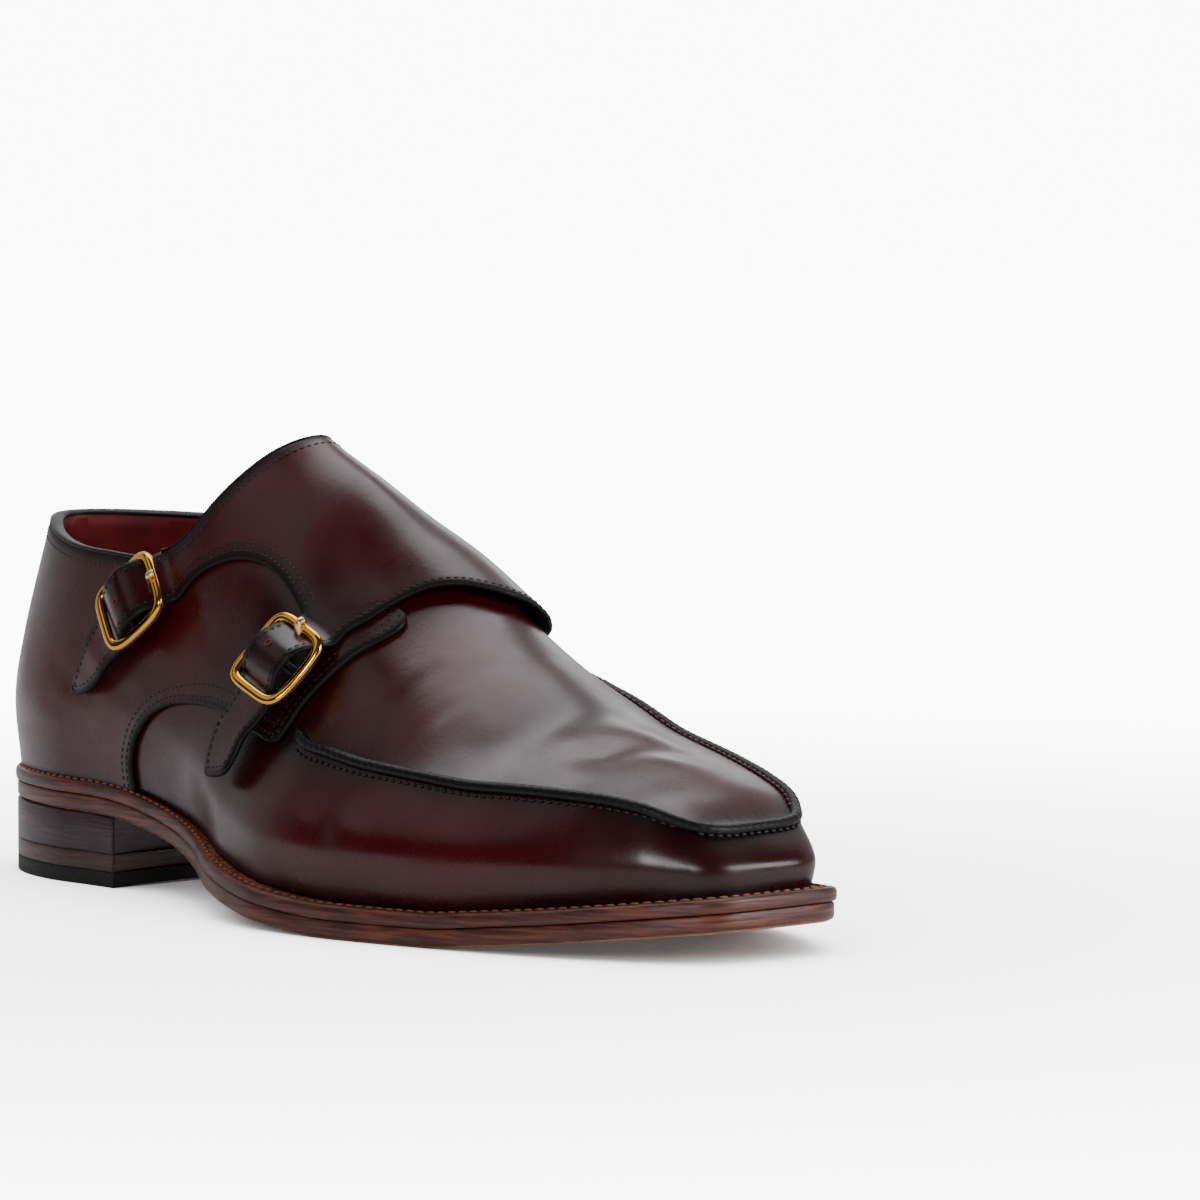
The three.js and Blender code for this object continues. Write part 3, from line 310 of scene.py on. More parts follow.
def curve(rows, column, at):
    """A smooth curve through one column of a table."""
    table = np.array(rows, float)
    xs, ys = table[:, 0], table[:, column]
    slope = np.diff(ys) / np.diff(xs)
    before, after = np.diff(xs)[:-1], np.diff(xs)[1:]
    inner = (slope[:-1] * after + slope[1:] * before) / (before + after)
    inner[slope[:-1] * slope[1:] <= 0] = 0
    tangent = np.concatenate([slope[:1], inner, slope[-1:]])
    x = np.clip(at, xs[0], xs[-1])
    i = np.clip(np.searchsorted(xs, x, side="right") - 1, 0, len(xs) - 2)
    h = xs[i + 1] - xs[i]
    s = (x - xs[i]) / h
    value = ys[i] * (1 + 2 * s) * (1 - s) ** 2 + ys[i + 1] * s * s * (3 - 2 * s)
    return value + h * s * (1 - s) * (tangent[i] * (1 - s) - tangent[i + 1] * s)


def soft(x, start, end):
    s = np.clip((np.asarray(x, float) - start) / (end - start), 0, 1)
    return s * s * (3 - 2 * s)


def underside(x):
    return HEEL * curve(UNDERSIDE, 1, x / LAST) + TOE_SPRING * curve(UNDERSIDE, 2, x / LAST)


def welt_top(x):
    return underside(x) + OUTSOLE + WELT


def heel_turn(rail, x):
    if rail["round"] == 0:
        return np.ones_like(x)
    q = np.minimum((x - rail["back"] * LAST) / (rail["round"] * LAST), 1)
    return np.sqrt(np.maximum(1 - (1 - q) ** 2, 0))


def rail_points(name, side, a):
    rail = RAILS[name]
    left = side < 0 or name == "crown"
    x = (rail["back"] + (rail["lateral" if left else "medial"] - rail["back"]) * a) * LAST
    half = curve(rail["rows"], 1 if left else 3, x / LAST) * BALL
    height = curve(rail["rows"], 2 if left else 4, x / LAST) * INSTEP
    return np.stack([x, (-1 if left else 1) * half * heel_turn(rail, x), welt_top(x) + height], -1)


def section(a, t):
    """The last's surface: a runs from the heel's back to the toe corners, and t from -1 at the lateral
    welt over -0.5 at the apron seam and 0 on the ridge to 1 at the medial welt."""
    a, t = np.broadcast_arrays(np.asarray(a, float), np.asarray(t, float))
    shape, a, t = a.shape, a.ravel(), t.ravel()
    sides = [rail_points(name, -1, a) for name in HALF]
    sides += [rail_points(name, 1, a) for name in HALF[3::-1]]
    p = np.stack(sides, 1)
    gap = np.diff(p, axis=1)
    steps = np.sqrt(np.linalg.norm(gap, axis=2, keepdims=True)) + 1e-6
    slope = gap / steps
    total = steps[:, :-1] + steps[:, 1:]
    inner = (slope[:, :-1] * steps[:, 1:] + slope[:, 1:] * steps[:, :-1]) / total
    out_of = np.concatenate([slope[:, :1], inner, slope[:, -1:]], 1)
    into = out_of.copy()
    corner = (0.85 * soft(a, 0.45, 0.62))[:, None]
    for k in (2, 6):
        out_of[:, k] += (slope[:, k] - out_of[:, k]) * corner
        into[:, k] += (slope[:, k - 1] - into[:, k]) * corner
    run = (t + 1) * 4
    k = np.clip(np.floor(run).astype(int), 0, 7)
    s = (run - k)[:, None]
    n = np.arange(len(a))
    point = p[n, k] * (1 + 2 * s) * (1 - s) ** 2 + p[n, k + 1] * s * s * (3 - 2 * s)
    point += out_of[n, k] * steps[n, k] * s * (1 - s) ** 2
    point -= into[n, k + 1] * steps[n, k] * s * s * (1 - s)
    return point.reshape(*shape, 3)


def unit(v):
    return v / np.maximum(np.linalg.norm(v, axis=-1, keepdims=True), 1e-12)


def bow_at(s):
    """How far the nose stands out in front of the toe corners; s runs from 0 at the welt up to 1."""
    bows = [RAILS[n]["front"] - (RAILS[n]["lateral"] + RAILS[n]["medial"]) / 2 for n in HALF[:3]]
    return np.interp(s, [0, 0.5, 1], bows) * LAST


def round_corners(points, level_left, level_right, reach=13.0):
    """The toe's two corners, rounded over reach on each side."""
    out = points.copy()
    for level in (level_left, level_right):
        corner = section(1.0, level)
        inward = unit(corner - section(0.985, level))
        across = (section(1.0, -level) - corner) / 2
        s = (1 - np.abs(level)) * 2
        across[..., 0] += 4 * bow_at(s)
        turned = unit(across) - inward
        r = np.linalg.norm(points - corner, axis=-1, keepdims=True)
        out += turned * np.maximum(reach - r, 0) ** 2 / (4 * reach)
    return out


def last_surface(a, t):
    """Section points with the toe's corners rounded."""
    points = section(a, t)
    near = np.broadcast_to(np.asarray(a) > 0.9, points.shape[:-1])
    if near.any():
        t = np.broadcast_to(t, points.shape[:-1])[near]
        points[near] = round_corners(points[near], np.clip(t, -1, -0.5), np.clip(t, 0.5, 1))
    return points


def nose_surface(b, s):
    """The toe's front wall: b runs across from -1 to 1, s from 0 at the welt to 1 at the apron seam."""
    left, right_side = section(1.0, -1 + s / 2), section(1.0, 1 - s / 2)
    points = left + (right_side - left) * ((b + 1) / 2)[..., None]
    points[..., 0] += bow_at(s) * (1 - b**4)
    return round_corners(points, -1 + s / 2, 1 - s / 2)


def normal_at(a, t):
    along = section(a + 0.003, t) - section(a - 0.003, t)
    around = section(a, t + 0.004) - section(a, t - 0.004)
    return unit(np.cross(along, around))


# Creases in the upper: the line each follows as (a, t) points, its half width and
# depth in millimetres. A positive depth is a trough and a negative one a ridge.
CREASES = [
    {
        "line": [(0.858, -0.36), (0.862, -0.2), (0.866, -0.05), (0.885, 0.09), (0.905, 0.28)],
        "half": 6,
        "depth": 0.7,
    },
    {"line": [(0.81, -0.3), (0.815, -0.12), (0.83, 0.06), (0.85, 0.25)], "half": 8, "depth": -0.45},
    {
        "line": [(0.76, -0.46), (0.775, -0.3), (0.785, -0.12), (0.79, 0.08), (0.795, 0.25)],
        "half": 7,
        "depth": 0.3,
    },
    {
        "line": [(0.655, -0.45), (0.67, -0.28), (0.68, -0.1), (0.69, 0.1), (0.69, 0.3)],
        "half": 6,
        "depth": 0.14,
    },
    {"line": [(0.675, -0.49), (0.69, -0.34), (0.705, -0.2)], "half": 3, "depth": 0.1},
    {"line": [(0.63, -0.44), (0.645, -0.3), (0.655, -0.16)], "half": 3, "depth": 0.1},
    {"line": [(0.60, -0.62), (0.63, -0.68), (0.655, -0.76)], "half": 3.5, "depth": 0.16},
    {"line": [(0.66, -0.6), (0.69, -0.66), (0.71, -0.75)], "half": 4, "depth": 0.14},
    {"line": [(0.12, -0.55), (0.17, -0.62), (0.23, -0.66)], "half": 4, "depth": 0.22},
    {"line": [(0.11, -0.68), (0.16, -0.73), (0.22, -0.76)], "half": 4, "depth": 0.16},
    {"line": [(0.19, -0.48), (0.23, -0.56), (0.29, -0.6)], "half": 3.5, "depth": 0.18},
    {"line": [(0.35, -0.37), (0.4, -0.4), (0.46, -0.42)], "half": 3, "depth": 0.15},
    {"line": [(0.15, 0.5), (0.2, 0.58), (0.26, 0.62)], "half": 4, "depth": 0.25},
    {"line": [(0.6, 0.6), (0.63, 0.66), (0.66, 0.74)], "half": 4, "depth": 0.2},
    {"line": [(0.40, 0.3), (0.44, 0.36), (0.5, 0.4)], "half": 5, "depth": 0.2},
]


def spline(points, steps=12):
    """A smooth line through points."""
    p = np.array(points, float)
    if len(p) < 3:
        return p[0] + (p[1] - p[0]) * np.linspace(0, 1, steps + 1)[:, None]
    ends = np.concatenate([[2 * p[0] - p[1]], p, [2 * p[-1] - p[-2]]])
    s = np.linspace(0, 1, steps, endpoint=False)[:, None]
    parts = []
    for k in range(1, len(ends) - 2):
        q = ends[k - 1 : k + 3]
        bend = 2 * q[0] - 5 * q[1] + 4 * q[2] - q[3]
        twist = 3 * (q[1] - q[2]) + q[3] - q[0]
        parts.append(0.5 * (2 * q[1] + (q[2] - q[0]) * s + bend * s**2 + twist * s**3))
    return np.concatenate([*parts, p[-1:]])


def line_distance(points, line):
    """From each point, the distance to a line and the share of the line's length at its nearest place."""
    start, step = line[:-1], np.diff(line, axis=0)
    best = np.full(len(points), 1e9)
    place = np.zeros(len(points))
    for k in range(len(start)):
        s = np.clip((points - start[k]) @ step[k] / max(step[k] @ step[k], 1e-9), 0, 1)
        d = np.linalg.norm(points - start[k] - s[:, None] * step[k], axis=1)
        nearer = d < best
        best[nearer] = d[nearer]
        place[nearer] = (k + s[nearer]) / len(start)
    return best, place


crease_lines = [last_surface(*spline(row["line"], 5).T) for row in CREASES]


def relief(points):
    """How far creases lift the leather at these points, in millimetres."""
    height = np.zeros(len(points))
    for row, line in zip(CREASES, crease_lines):
        near = np.nonzero(np.linalg.norm(points - line.mean(0), axis=1) < 80)[0]
        if len(near) == 0:
            continue
        d, place = line_distance(points[near], line)
        w = d / row["half"]
        ends = soft(place, 0, 0.25) * soft(1 - place, 0, 0.25)
        height[near] -= row["depth"] * (1 - 0.6 * w**2) * np.exp(-(w**2) / 1.6) * ends
    return height


# Panels of leather are cut out of the last's surface, spread out flat: along from the heel, in
# shares drawn together where the heel turns, and around.
FLAT = np.array([320.0, 112.0])
PULL = 0.06


def to_flat(line):
    a, t = np.array(line, float).T
    u = (a + np.sqrt(a * a + 4 * (1 + PULL) * PULL * np.maximum(a, 0))) / (2 * (1 + PULL))
    return np.stack([u, t], 1) * FLAT


def from_flat(points):
    u, t = (points / FLAT).T
    return u * u / (u + PULL) * (1 + PULL), t


def even(line, step):
    """The line with its points about step apart, its own corners kept out."""
    gaps = np.linalg.norm(np.diff(line, axis=0), axis=1)
    run = np.concatenate([[0], np.cumsum(gaps)])
    count = max(int(round(run[-1] / step)), 1)
    at = np.linspace(0, run[-1], count + 1)
    return np.stack([np.interp(at, run, line[:, k]) for k in range(line.shape[1])], 1)


def closed(stretches, step):
    """One closed outline from stretches that each start where the last one ends."""
    return np.concatenate([even(s, step)[:-1] for s in stretches])


def within(points, outline):
    inside = np.zeros(len(points), bool)
    x, y = points.T
    for p, q in zip(outline, np.roll(outline, -1, 0)):
        if p[1] == q[1]:
            continue
        crosses = (p[1] > y) != (q[1] > y)
        inside ^= crosses & (x < p[0] + (y - p[1]) / (q[1] - p[1]) * (q[0] - p[0]))
    return inside


def nearest(points, outline):
    """Distance from each point to the outline's corners."""
    parts = [points[k : k + 500, None] for k in range(0, len(points), 500)]
    return np.concatenate([np.linalg.norm(part - outline[None], axis=2).min(1) for part in parts])


def cut(outline, spacing, rings):
    """Triangles over a flat outline, with rows of points at the rings' distances inside its edge."""
    low, high = outline.min(0), outline.max(0)
    fill = []
    for k, y in enumerate(np.arange(low[1], high[1], spacing * 0.866)):
        xs = np.arange(low[0] + (k % 2) * spacing / 2, high[0], spacing)
        fill.append(np.stack([xs, np.full_like(xs, y)], 1))
    fill = np.concatenate(fill)
    fill = fill[within(fill, outline)]
    border = nearest(fill, outline)
    fill = fill[border > (rings[-1] if rings else 0) + 0.55 * spacing]
    ahead = np.roll(outline, -1, 0) - np.roll(outline, 1, 0)
    inward = unit(np.stack([-ahead[:, 1], ahead[:, 0]], 1))
    area = np.sum(outline[:, 0] * np.roll(outline[:, 1], -1) - np.roll(outline[:, 0], -1) * outline[:, 1])
    inward *= np.sign(area)
    extra = [fill]
    for d in rings:
        ring = outline + inward * d
        keep = within(ring, outline)
        ring = ring[keep]
        extra.append(ring[nearest(ring, outline) > 0.85 * d])
    points = np.concatenate([outline, *extra])
    loop = list(range(len(outline)))
    verts, _, faces, *_ = delaunay_2d_cdt([Vector(p) for p in points], [], [loop], 1, 1e-4)
    verts = np.array([tuple(v) for v in verts])
    faces = np.array(faces)
    p, q, r = (verts[faces[:, k]] for k in range(3))
    turned = np.cross(q - p, r - p) < 0
    faces[turned] = faces[turned][:, ::-1]
    return verts, faces, nearest(verts, even(np.concatenate([outline, outline[:1]]), 0.3))


def rim(faces, count):
    """Quads that join the free edges of a skin to the same edges of a second skin, count points on."""
    sides = {}
    for f in faces.tolist():
        for k in range(3):
            p, q = f[k], f[(k + 1) % 3]
            if sides.pop((q, p), None) is None:
                sides[(p, q)] = True
    return [(q, p, p + count, q + count) for p, q in sides]


def make_mesh(name, points, faces, materials, which=None, smooth=True, attributes=None):
    """A piece from points in millimetres from the heel's back."""
    mesh = bpy.data.meshes.new(name)
    mesh.from_pydata(((np.asarray(points) - ORIGIN) / 1000).tolist(), [], [list(f) for f in faces])
    for look in materials:
        mesh.materials.append(look)
    if which is not None:
        mesh.polygons.foreach_set("material_index", which)
    mesh.polygons.foreach_set("use_smooth", [smooth] * len(mesh.polygons))
    for key, values in (attributes or {}).items():
        if np.ndim(values) == 1:
            mesh.attributes.new(key, "FLOAT", "POINT").data.foreach_set("value", values)
        else:
            mesh.attributes.new(key, "FLOAT_VECTOR", "POINT").data.foreach_set("vector", np.ravel(values))
    mesh.update()
    piece = bpy.data.objects.new(name, mesh)
    bpy.context.collection.objects.link(piece)
    return piece


def leather_panel(name, outline, low, high, spacing, materials, edge=1.0):
    """A panel between two lifts off the last, its upper edge rounded over edge millimetres."""
    flat, faces, border = cut(outline, spacing, [0.3, 0.75, 1.5])
    a, t = from_flat(flat)
    base, normal = last_surface(a, t), normal_at(a, t)
    low_lift, high_lift = low(a, t), high(a, t)
    rounded = np.sqrt(np.maximum(1 - (1 - np.minimum(border / edge, 1)) ** 2, 0))
    top = high_lift - (high_lift - low_lift) * 0.62 * (1 - rounded) + relief(base)
    points = np.concatenate([base + normal * top[:, None], base + normal * low_lift[:, None]])
    count = len(base)
    joins = rim(faces, count)
    every = [*faces.tolist(), *(faces[:, ::-1] + count).tolist(), *joins]
    which = [0] * len(faces) + [1] * (len(faces) + len(joins))
    depth = np.concatenate([border, np.full(count, -1.0)])
    return make_mesh(name, points, every, materials, which, attributes={"edge": depth})


# Leather: calf dyed burgundy, in soft clouds, burnished almost black along seams and edges, polished.
# The panels' edge attribute is the distance in millimetres to their own edge, which is pressed in along
# its stitching. The upper's burnish attribute is how dark it is round the apron, the foot and the toe.
STITCH_IN, GROOVE_HALF = 2.1, 0.45
burgundy, tree = new_material("burgundy_calf")
calf_at = add(tree, "ShaderNodeTexCoord").outputs["Object"]
edge = add(tree, "ShaderNodeAttribute", attribute_name="edge").outputs["Fac"]
burnish = add(tree, "ShaderNodeAttribute", attribute_name="burnish").outputs["Fac"]
clouds = add(tree, "ShaderNodeTexNoise", {"Vector": calf_at, "Scale": 1000 / 55, "Detail": 2})
clouds = add(tree, "ShaderNodeMapRange", {0: clouds, 1: 0.3, 2: 0.72}, **SMOOTH)
dyed = add(
    tree, "ShaderNodeMix", {"Factor": clouds, "A": hexcolor("2c0506"), "B": hexcolor("4a0709")}, **RGBA
)
mottle = add(tree, "ShaderNodeTexNoise", {"Vector": calf_at, "Scale": 1000 / 5, "Detail": 3})
mottle = add(tree, "ShaderNodeMapRange", {0: mottle, 1: 0.3, 2: 0.75, 3: 0.85, 4: 1.1}, **SMOOTH)
near_edge = add(tree, "ShaderNodeMapRange", {0: edge, 1: 0.5, 2: 5.0, 3: 0.85, 4: 0}, **SMOOTH)
darkened = add(tree, "ShaderNodeMath", {0: near_edge, 1: burnish}, operation="ADD", use_clamp=True)
darkened = add(tree, "ShaderNodeMath", {0: darkened, 1: mottle}, operation="MULTIPLY", use_clamp=True)
dyed = add(tree, "ShaderNodeMix", {"Factor": darkened, "A": dyed, "B": hexcolor("0b0305")}, **RGBA)
at_rim = add(tree, "ShaderNodeMapRange", {0: edge, 1: 0.3, 2: 1.0, 3: 1, 4: 0}, **SMOOTH)
dyed = add(tree, "ShaderNodeMix", {"Factor": at_rim, "A": dyed, "B": hexcolor("0c0405")}, **RGBA)
grain = add(tree, "ShaderNodeTexNoise", {"Vector": calf_at, "Scale": 1000 / 1.5, "Detail": 4})
groove = add(tree, "ShaderNodeMath", {0: edge, 1: STITCH_IN, 2: GROOVE_HALF}, operation="COMPARE")
groove = add(tree, "ShaderNodeMapRange", {0: groove, 3: 0, 4: -5.0}, **SMOOTH)
pressed = add(tree, "ShaderNodeMath", {0: grain, 1: groove}, operation="ADD")
polish = add(tree, "ShaderNodeTexNoise", {"Vector": calf_at, "Scale": 1000 / 18, "Detail": 3})
polish = add(tree, "ShaderNodeMapRange", {0: polish, 1: 0.3, 2: 0.7, 3: 0.24, 4: 0.35}, **SMOOTH)
dull_rim = add(tree, "ShaderNodeMapRange", {0: edge, 1: 0.4, 2: 3.0, 3: 0.22, 4: 0}, **SMOOTH)
shine = add(tree, "ShaderNodeMapRange", {0: edge, 1: 0.4, 2: 3.0, 3: 0.2, 4: 0.45}, **SMOOTH)
finish_material(
    tree,
    {
        "Base Color": dyed,
        "Roughness": add(tree, "ShaderNodeMath", {0: polish, 1: dull_rim}, operation="ADD"),
        "Specular IOR Level": shine,
        "Coat Weight": 0.08,
        "Coat Roughness": 0.18,
        "IOR": 1.5,
    },
    pressed,
    0.00003,
)

# Cut edges and backs of the leather, dyed dark.
dark_edge, tree = new_material("dyed_leather_edge")
finish_material(tree, {"Base Color": hexcolor("0c0405"), "Roughness": 0.55, "Specular IOR Level": 0.3})

# Lining: red kid leather, matt, a little uneven in its dye.
lining, tree = new_material("red_lining_leather")
lining_at = add(tree, "ShaderNodeTexCoord").outputs["Object"]
uneven = add(tree, "ShaderNodeTexNoise", {"Vector": lining_at, "Scale": 1000 / 12, "Detail": 3})
uneven = add(tree, "ShaderNodeMapRange", {0: uneven, 1: 0.35, 2: 0.7}, **SMOOTH)
red = add(
    tree, "ShaderNodeMix", {"Factor": uneven, "A": hexcolor("6e1417"), "B": hexcolor("8a1d1f")}, **RGBA
)
kid_grain = add(tree, "ShaderNodeTexNoise", {"Vector": lining_at, "Scale": 1000 / 0.6, "Detail": 3})
finish_material(tree, {"Base Color": red, "Roughness": 0.6}, kid_grain, 0.00005)


# The collar's edge: TOPLINE rows are at as a share of LAST, then the lateral and medial height of
# INSTEP over the welt, blended across the middle over COLLAR_BLEND of BALL.
TOPLINE = [
    (-0.1, 0.715, 0.72),
    (0.063, 0.7, 0.717),
    (0.1, 0.672, 0.714),
    (0.153, 0.646, 0.714),
    (0.2, 0.638, 0.718),
    (0.237, 0.639, 0.735),
    (0.267, 0.648, 0.785),
    (0.3, 0.69, 0.86),
    (0.327, 0.765, 0.92),
    (0.343, 0.845, 0.965),
    (0.36, 0.92, 1),
    (0.377, 0.982, 1.03),
    (0.395, 1.035, 1.055),
    (0.415, 1.085, 1.085),
    (0.45, 1.2, 1.2),
    (0.5, 1.5, 1.5),
]
COLLAR_BLEND = 0.16


def over_collar(point):
    x, y, z = np.moveaxis(point, -1, 0)
    blend = soft(y, -COLLAR_BLEND * BALL, COLLAR_BLEND * BALL)
    share_up = curve(TOPLINE, 1, x / LAST) * (1 - blend) + curve(TOPLINE, 2, x / LAST) * blend
    return z - welt_top(x) - share_up * INSTEP


def search(is_above, low, high):
    """Where is_above turns true between low and high."""
    for _ in range(40):
        mid = (low + high) / 2
        above = is_above(mid)
        low, high = np.where(above, low, mid), np.where(above, mid, high)
    return (low + high) / 2


peak = float(search(lambda a: over_collar(section(a, 0.0)) < 0, np.array(0.2), np.array(0.6)))


def collar_line(side, count=70):
    """The collar's edge from the heel's back to the peak, as (a, t)."""
    w = np.linspace(0, 1, count)
    top = to_flat([(peak, 0)])[0, 0]
    a, _ = from_flat(np.stack([top * (1 - (1 - w) ** 1.8), w * 0], 1))
    t = search(lambda s: over_collar(section(a, side * s)) < 0, np.zeros(count), np.full(count, 0.8))
    t[-1] = 0
    return np.stack([a, side * t], 1)


lateral_collar, medial_collar = collar_line(-1), collar_line(1)


def from_side(rows, side):
    """Outline rows seen from the side, at and up as shares of LAST and INSTEP, as (a, t)."""
    at, height = np.array(rows, float).T
    x, z = at * LAST, welt_top(at * LAST) + height * INSTEP

    def along(t):
        a = at.copy()
        for _ in range(4):
            a = np.clip(a + (x - section(a, side * t)[:, 0]) / (0.95 * LAST), 0, 1.02)
        return a

    t = search(lambda s: section(along(s), side * s)[:, 2] < z, np.zeros(len(at)), np.ones(len(at)))
    return np.stack([along(t), side * t], 1)


# Upper: the vamp with its apron and the tongue under the flap, lined, one shell 2 mm thick that stands
# on the welt. It is folded over the toe, so the toe's front wall is added to the cut-out body.
LINING_WALL = 2.0
WALL_ROWS, NOSE_COLUMNS = 24, 45
EDGE_STEP, FACE_STEP = 2.2, 2.1
around = np.concatenate(
    [
        np.linspace(-1, -0.5, WALL_ROWS)[:-1],
        np.linspace(-0.5, 0.5, NOSE_COLUMNS),
        np.linspace(0.5, 1, WALL_ROWS)[1:],
    ]
)
fore_edge = np.stack([np.ones(len(around)), around], 1)
foot = to_flat([(0, -1), (1, -1)])
round_collar = [
    to_flat([(0, 1), medial_collar[0]]),
    to_flat(medial_collar),
    to_flat(lateral_collar[::-1]),
    to_flat([lateral_collar[0], (0, -1)]),
]
body_outline = np.concatenate(
    [
        even(foot, EDGE_STEP)[:-1],
        to_flat(fore_edge)[:-1],
        even(foot[::-1] * [1, -1], EDGE_STEP)[:-1],
        closed(round_collar, EDGE_STEP),
    ]
)
flat, body_faces, _ = cut(body_outline, FACE_STEP, [])
a, t = from_flat(flat)
body_points = last_surface(a, t)

across = np.linspace(-1, 1, NOSE_COLUMNS)
up_wall = np.linspace(0, 1, WALL_ROWS)
b, s = np.meshgrid(across, up_wall, indexing="ij")
nose_points = nose_surface(b.ravel(), s.ravel())
strip_start = last_surface(np.ones(NOSE_COLUMNS), across / 2)
strip_end = nose_surface(across, np.ones(NOSE_COLUMNS))
strip_points = np.concatenate([strip_start, (strip_start + strip_end) / 2, strip_end])


def grid_faces(rows, columns, first):
    corners = [first + i * columns + j for i in range(rows - 1) for j in range(columns - 1)]
    return [(k, k + columns, k + columns + 1, k + 1) for k in corners]


points = np.concatenate([body_points, nose_points, strip_points])
faces = [*body_faces.tolist(), *grid_faces(NOSE_COLUMNS, WALL_ROWS, len(body_points))]
faces += grid_faces(3, NOSE_COLUMNS, len(body_points) + len(nose_points))


def weld(points, faces):
    """Points that share a place made one, and quads split into triangles."""
    places = np.round(points * 500).astype(np.int64)
    _, first, same = np.unique(places, axis=0, return_index=True, return_inverse=True)
    same = same.ravel()
    out = []
    for f in faces:
        g = [int(same[v]) for v in f]
        for k in range(1, len(g) - 1):
            triangle = (g[0], g[k], g[k + 1])
            if len(set(triangle)) == 3:
                out.append(triangle)
    return points[first], np.array(out)


def point_normals(points, faces):
    p, q, r = (points[faces[:, k]] for k in range(3))
    n = np.cross(q - p, r - p)
    total = np.zeros_like(points)
    for k in range(3):
        np.add.at(total, faces[:, k], n)
    return unit(total)


points, faces = weld(points, faces)
normals = point_normals(points, faces)
outer = points + normals * relief(points)[:, None]
count = len(points)
joins = rim(faces, count)
apron_line = np.concatenate(
    [
        last_surface(np.linspace(0.5, 1, 60), np.full(60, -0.5)),
        nose_surface(np.linspace(-1, 1, 30), np.ones(30)),
        last_surface(np.linspace(1, 0.5, 60), np.full(60, 0.5)),
    ]
)
to_seam, _ = line_distance(points, apron_line)
on_foot = points[:, 2] - welt_top(points[:, 0])
toe = soft(points[:, 0], 235, 296)
burnish = 0.85 * np.exp(-((to_seam / 5.5) ** 1.3)) + 0.7 * np.exp(-on_foot / 4.5) + 0.35 * toe
upper = make_mesh(
    "upper_calf",
    np.concatenate([outer, points - normals * LINING_WALL]),
    [*faces.tolist(), *(faces[:, ::-1] + count).tolist(), *joins],
    [burgundy, lining],
    [0] * len(faces) + [1] * (len(faces) + len(joins)),
    attributes={"edge": np.full(2 * count, 30.0), "burnish": np.concatenate([burnish, burnish * 0])},
)
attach(upper, "root")
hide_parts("upper")


# Strands: a round or oval section swept along a line, for beads, bindings and wire.
def strand(line, facing, wide, tall, sides=12, loop=False, power=2.0):
    """Points and faces; facing gives the outward direction, wide and tall the half sizes across and out."""
    line, facing = np.array(line, float), np.broadcast_to(facing, np.shape(line))
    if loop:
        ahead = np.roll(line, -1, 0) - np.roll(line, 1, 0)
    else:
        ahead = np.gradient(line, axis=0)
    ahead = unit(ahead)
    beside = unit(np.cross(facing, ahead))
    outward = np.cross(ahead, beside)
    n = len(line)
    wide, tall = np.broadcast_to(wide, n), np.broadcast_to(tall, n)
    angle = np.linspace(0, 2 * np.pi, sides, endpoint=False)
    c, s = np.cos(angle), np.sin(angle)
    square = (np.abs(c) ** power + np.abs(s) ** power) ** (-1 / power)
    ring = beside[:, None] * (c * square)[None, :, None] * wide[:, None, None]
    ring = ring + outward[:, None] * (s * square)[None, :, None] * tall[:, None, None]
    points = (line[:, None] + ring).reshape(-1, 3)
    faces = []
    for i in range(n if loop else n - 1):
        for j in range(sides):
            p, q = i * sides, ((i + 1) % n) * sides
            k = (j + 1) % sides
            faces.append((p + j, p + k, q + k, q + j))
    if not loop:
        faces.append(tuple(range(sides))[::-1])
        faces.append(tuple(range((n - 1) * sides, n * sides)))
    return points, faces


def gathered(parts):
    """Several sets of points and faces as one."""
    points, faces, first = [], [], 0
    for p, f in parts:
        points.append(p)
        faces += [tuple(v + first for v in g) for g in f]
        first += len(p)
    return np.concatenate(points), faces


# Stitches are instances of one small rounded bar, set along a line by Geometry Nodes.
def stitch_tree():
    tree = bpy.data.node_groups.new("stitch_row", "GeometryNodeTree")
    sockets = {"Line": "Geometry", "Spacing": "Float", "Stitch": "Vector", "Thread": "Material"}
    for label, kind in sockets.items():
        tree.interface.new_socket(label, in_out="INPUT", socket_type="NodeSocket" + kind)
    tree.interface.new_socket("Geometry", in_out="OUTPUT", socket_type="NodeSocketGeometry")
    given = tree.nodes.new("NodeGroupInput").outputs
    line = add(tree, "GeometryNodeMeshToCurve", {"Mesh": given["Line"]})
    spaced = {"Curve": line, "Length": given["Spacing"]}
    placed = add(tree, "GeometryNodeResampleCurve", spaced, mode="LENGTH")
    along = add(tree, "GeometryNodeInputTangent")
    out = add(tree, "GeometryNodeInputNamedAttribute", {"Name": "facing"}, data_type="FLOAT_VECTOR")
    turned = add(tree, "FunctionNodeAlignRotationToVector", {"Vector": along.outputs["Tangent"]}, axis="X")
    facing = add(
        tree,
        "FunctionNodeAlignRotationToVector",
        {"Rotation": turned.outputs["Rotation"], "Vector": out.outputs["Attribute"]},
        axis="Z",
        pivot_axis="X",
    )
    ball = add(tree, "GeometryNodeMeshUVSphere", {"Segments": 6, "Rings": 4, "Radius": 0.5})
    rows = add(
        tree,
        "GeometryNodeInstanceOnPoints",
        {
            "Points": placed.outputs["Curve"],
            "Instance": ball.outputs["Mesh"],
            "Rotation": facing.outputs["Rotation"],
            "Scale": given["Stitch"],
        },
    )
    real = add(tree, "GeometryNodeRealizeInstances", {"Geometry": rows})
    dyed = add(tree, "GeometryNodeSetMaterial", {"Geometry": real, "Material": given["Thread"]})
    end = tree.nodes.new("NodeGroupOutput")
    tree.links.new(dyed.outputs["Geometry"], end.inputs["Geometry"])
    return tree


stitch_group = stitch_tree()


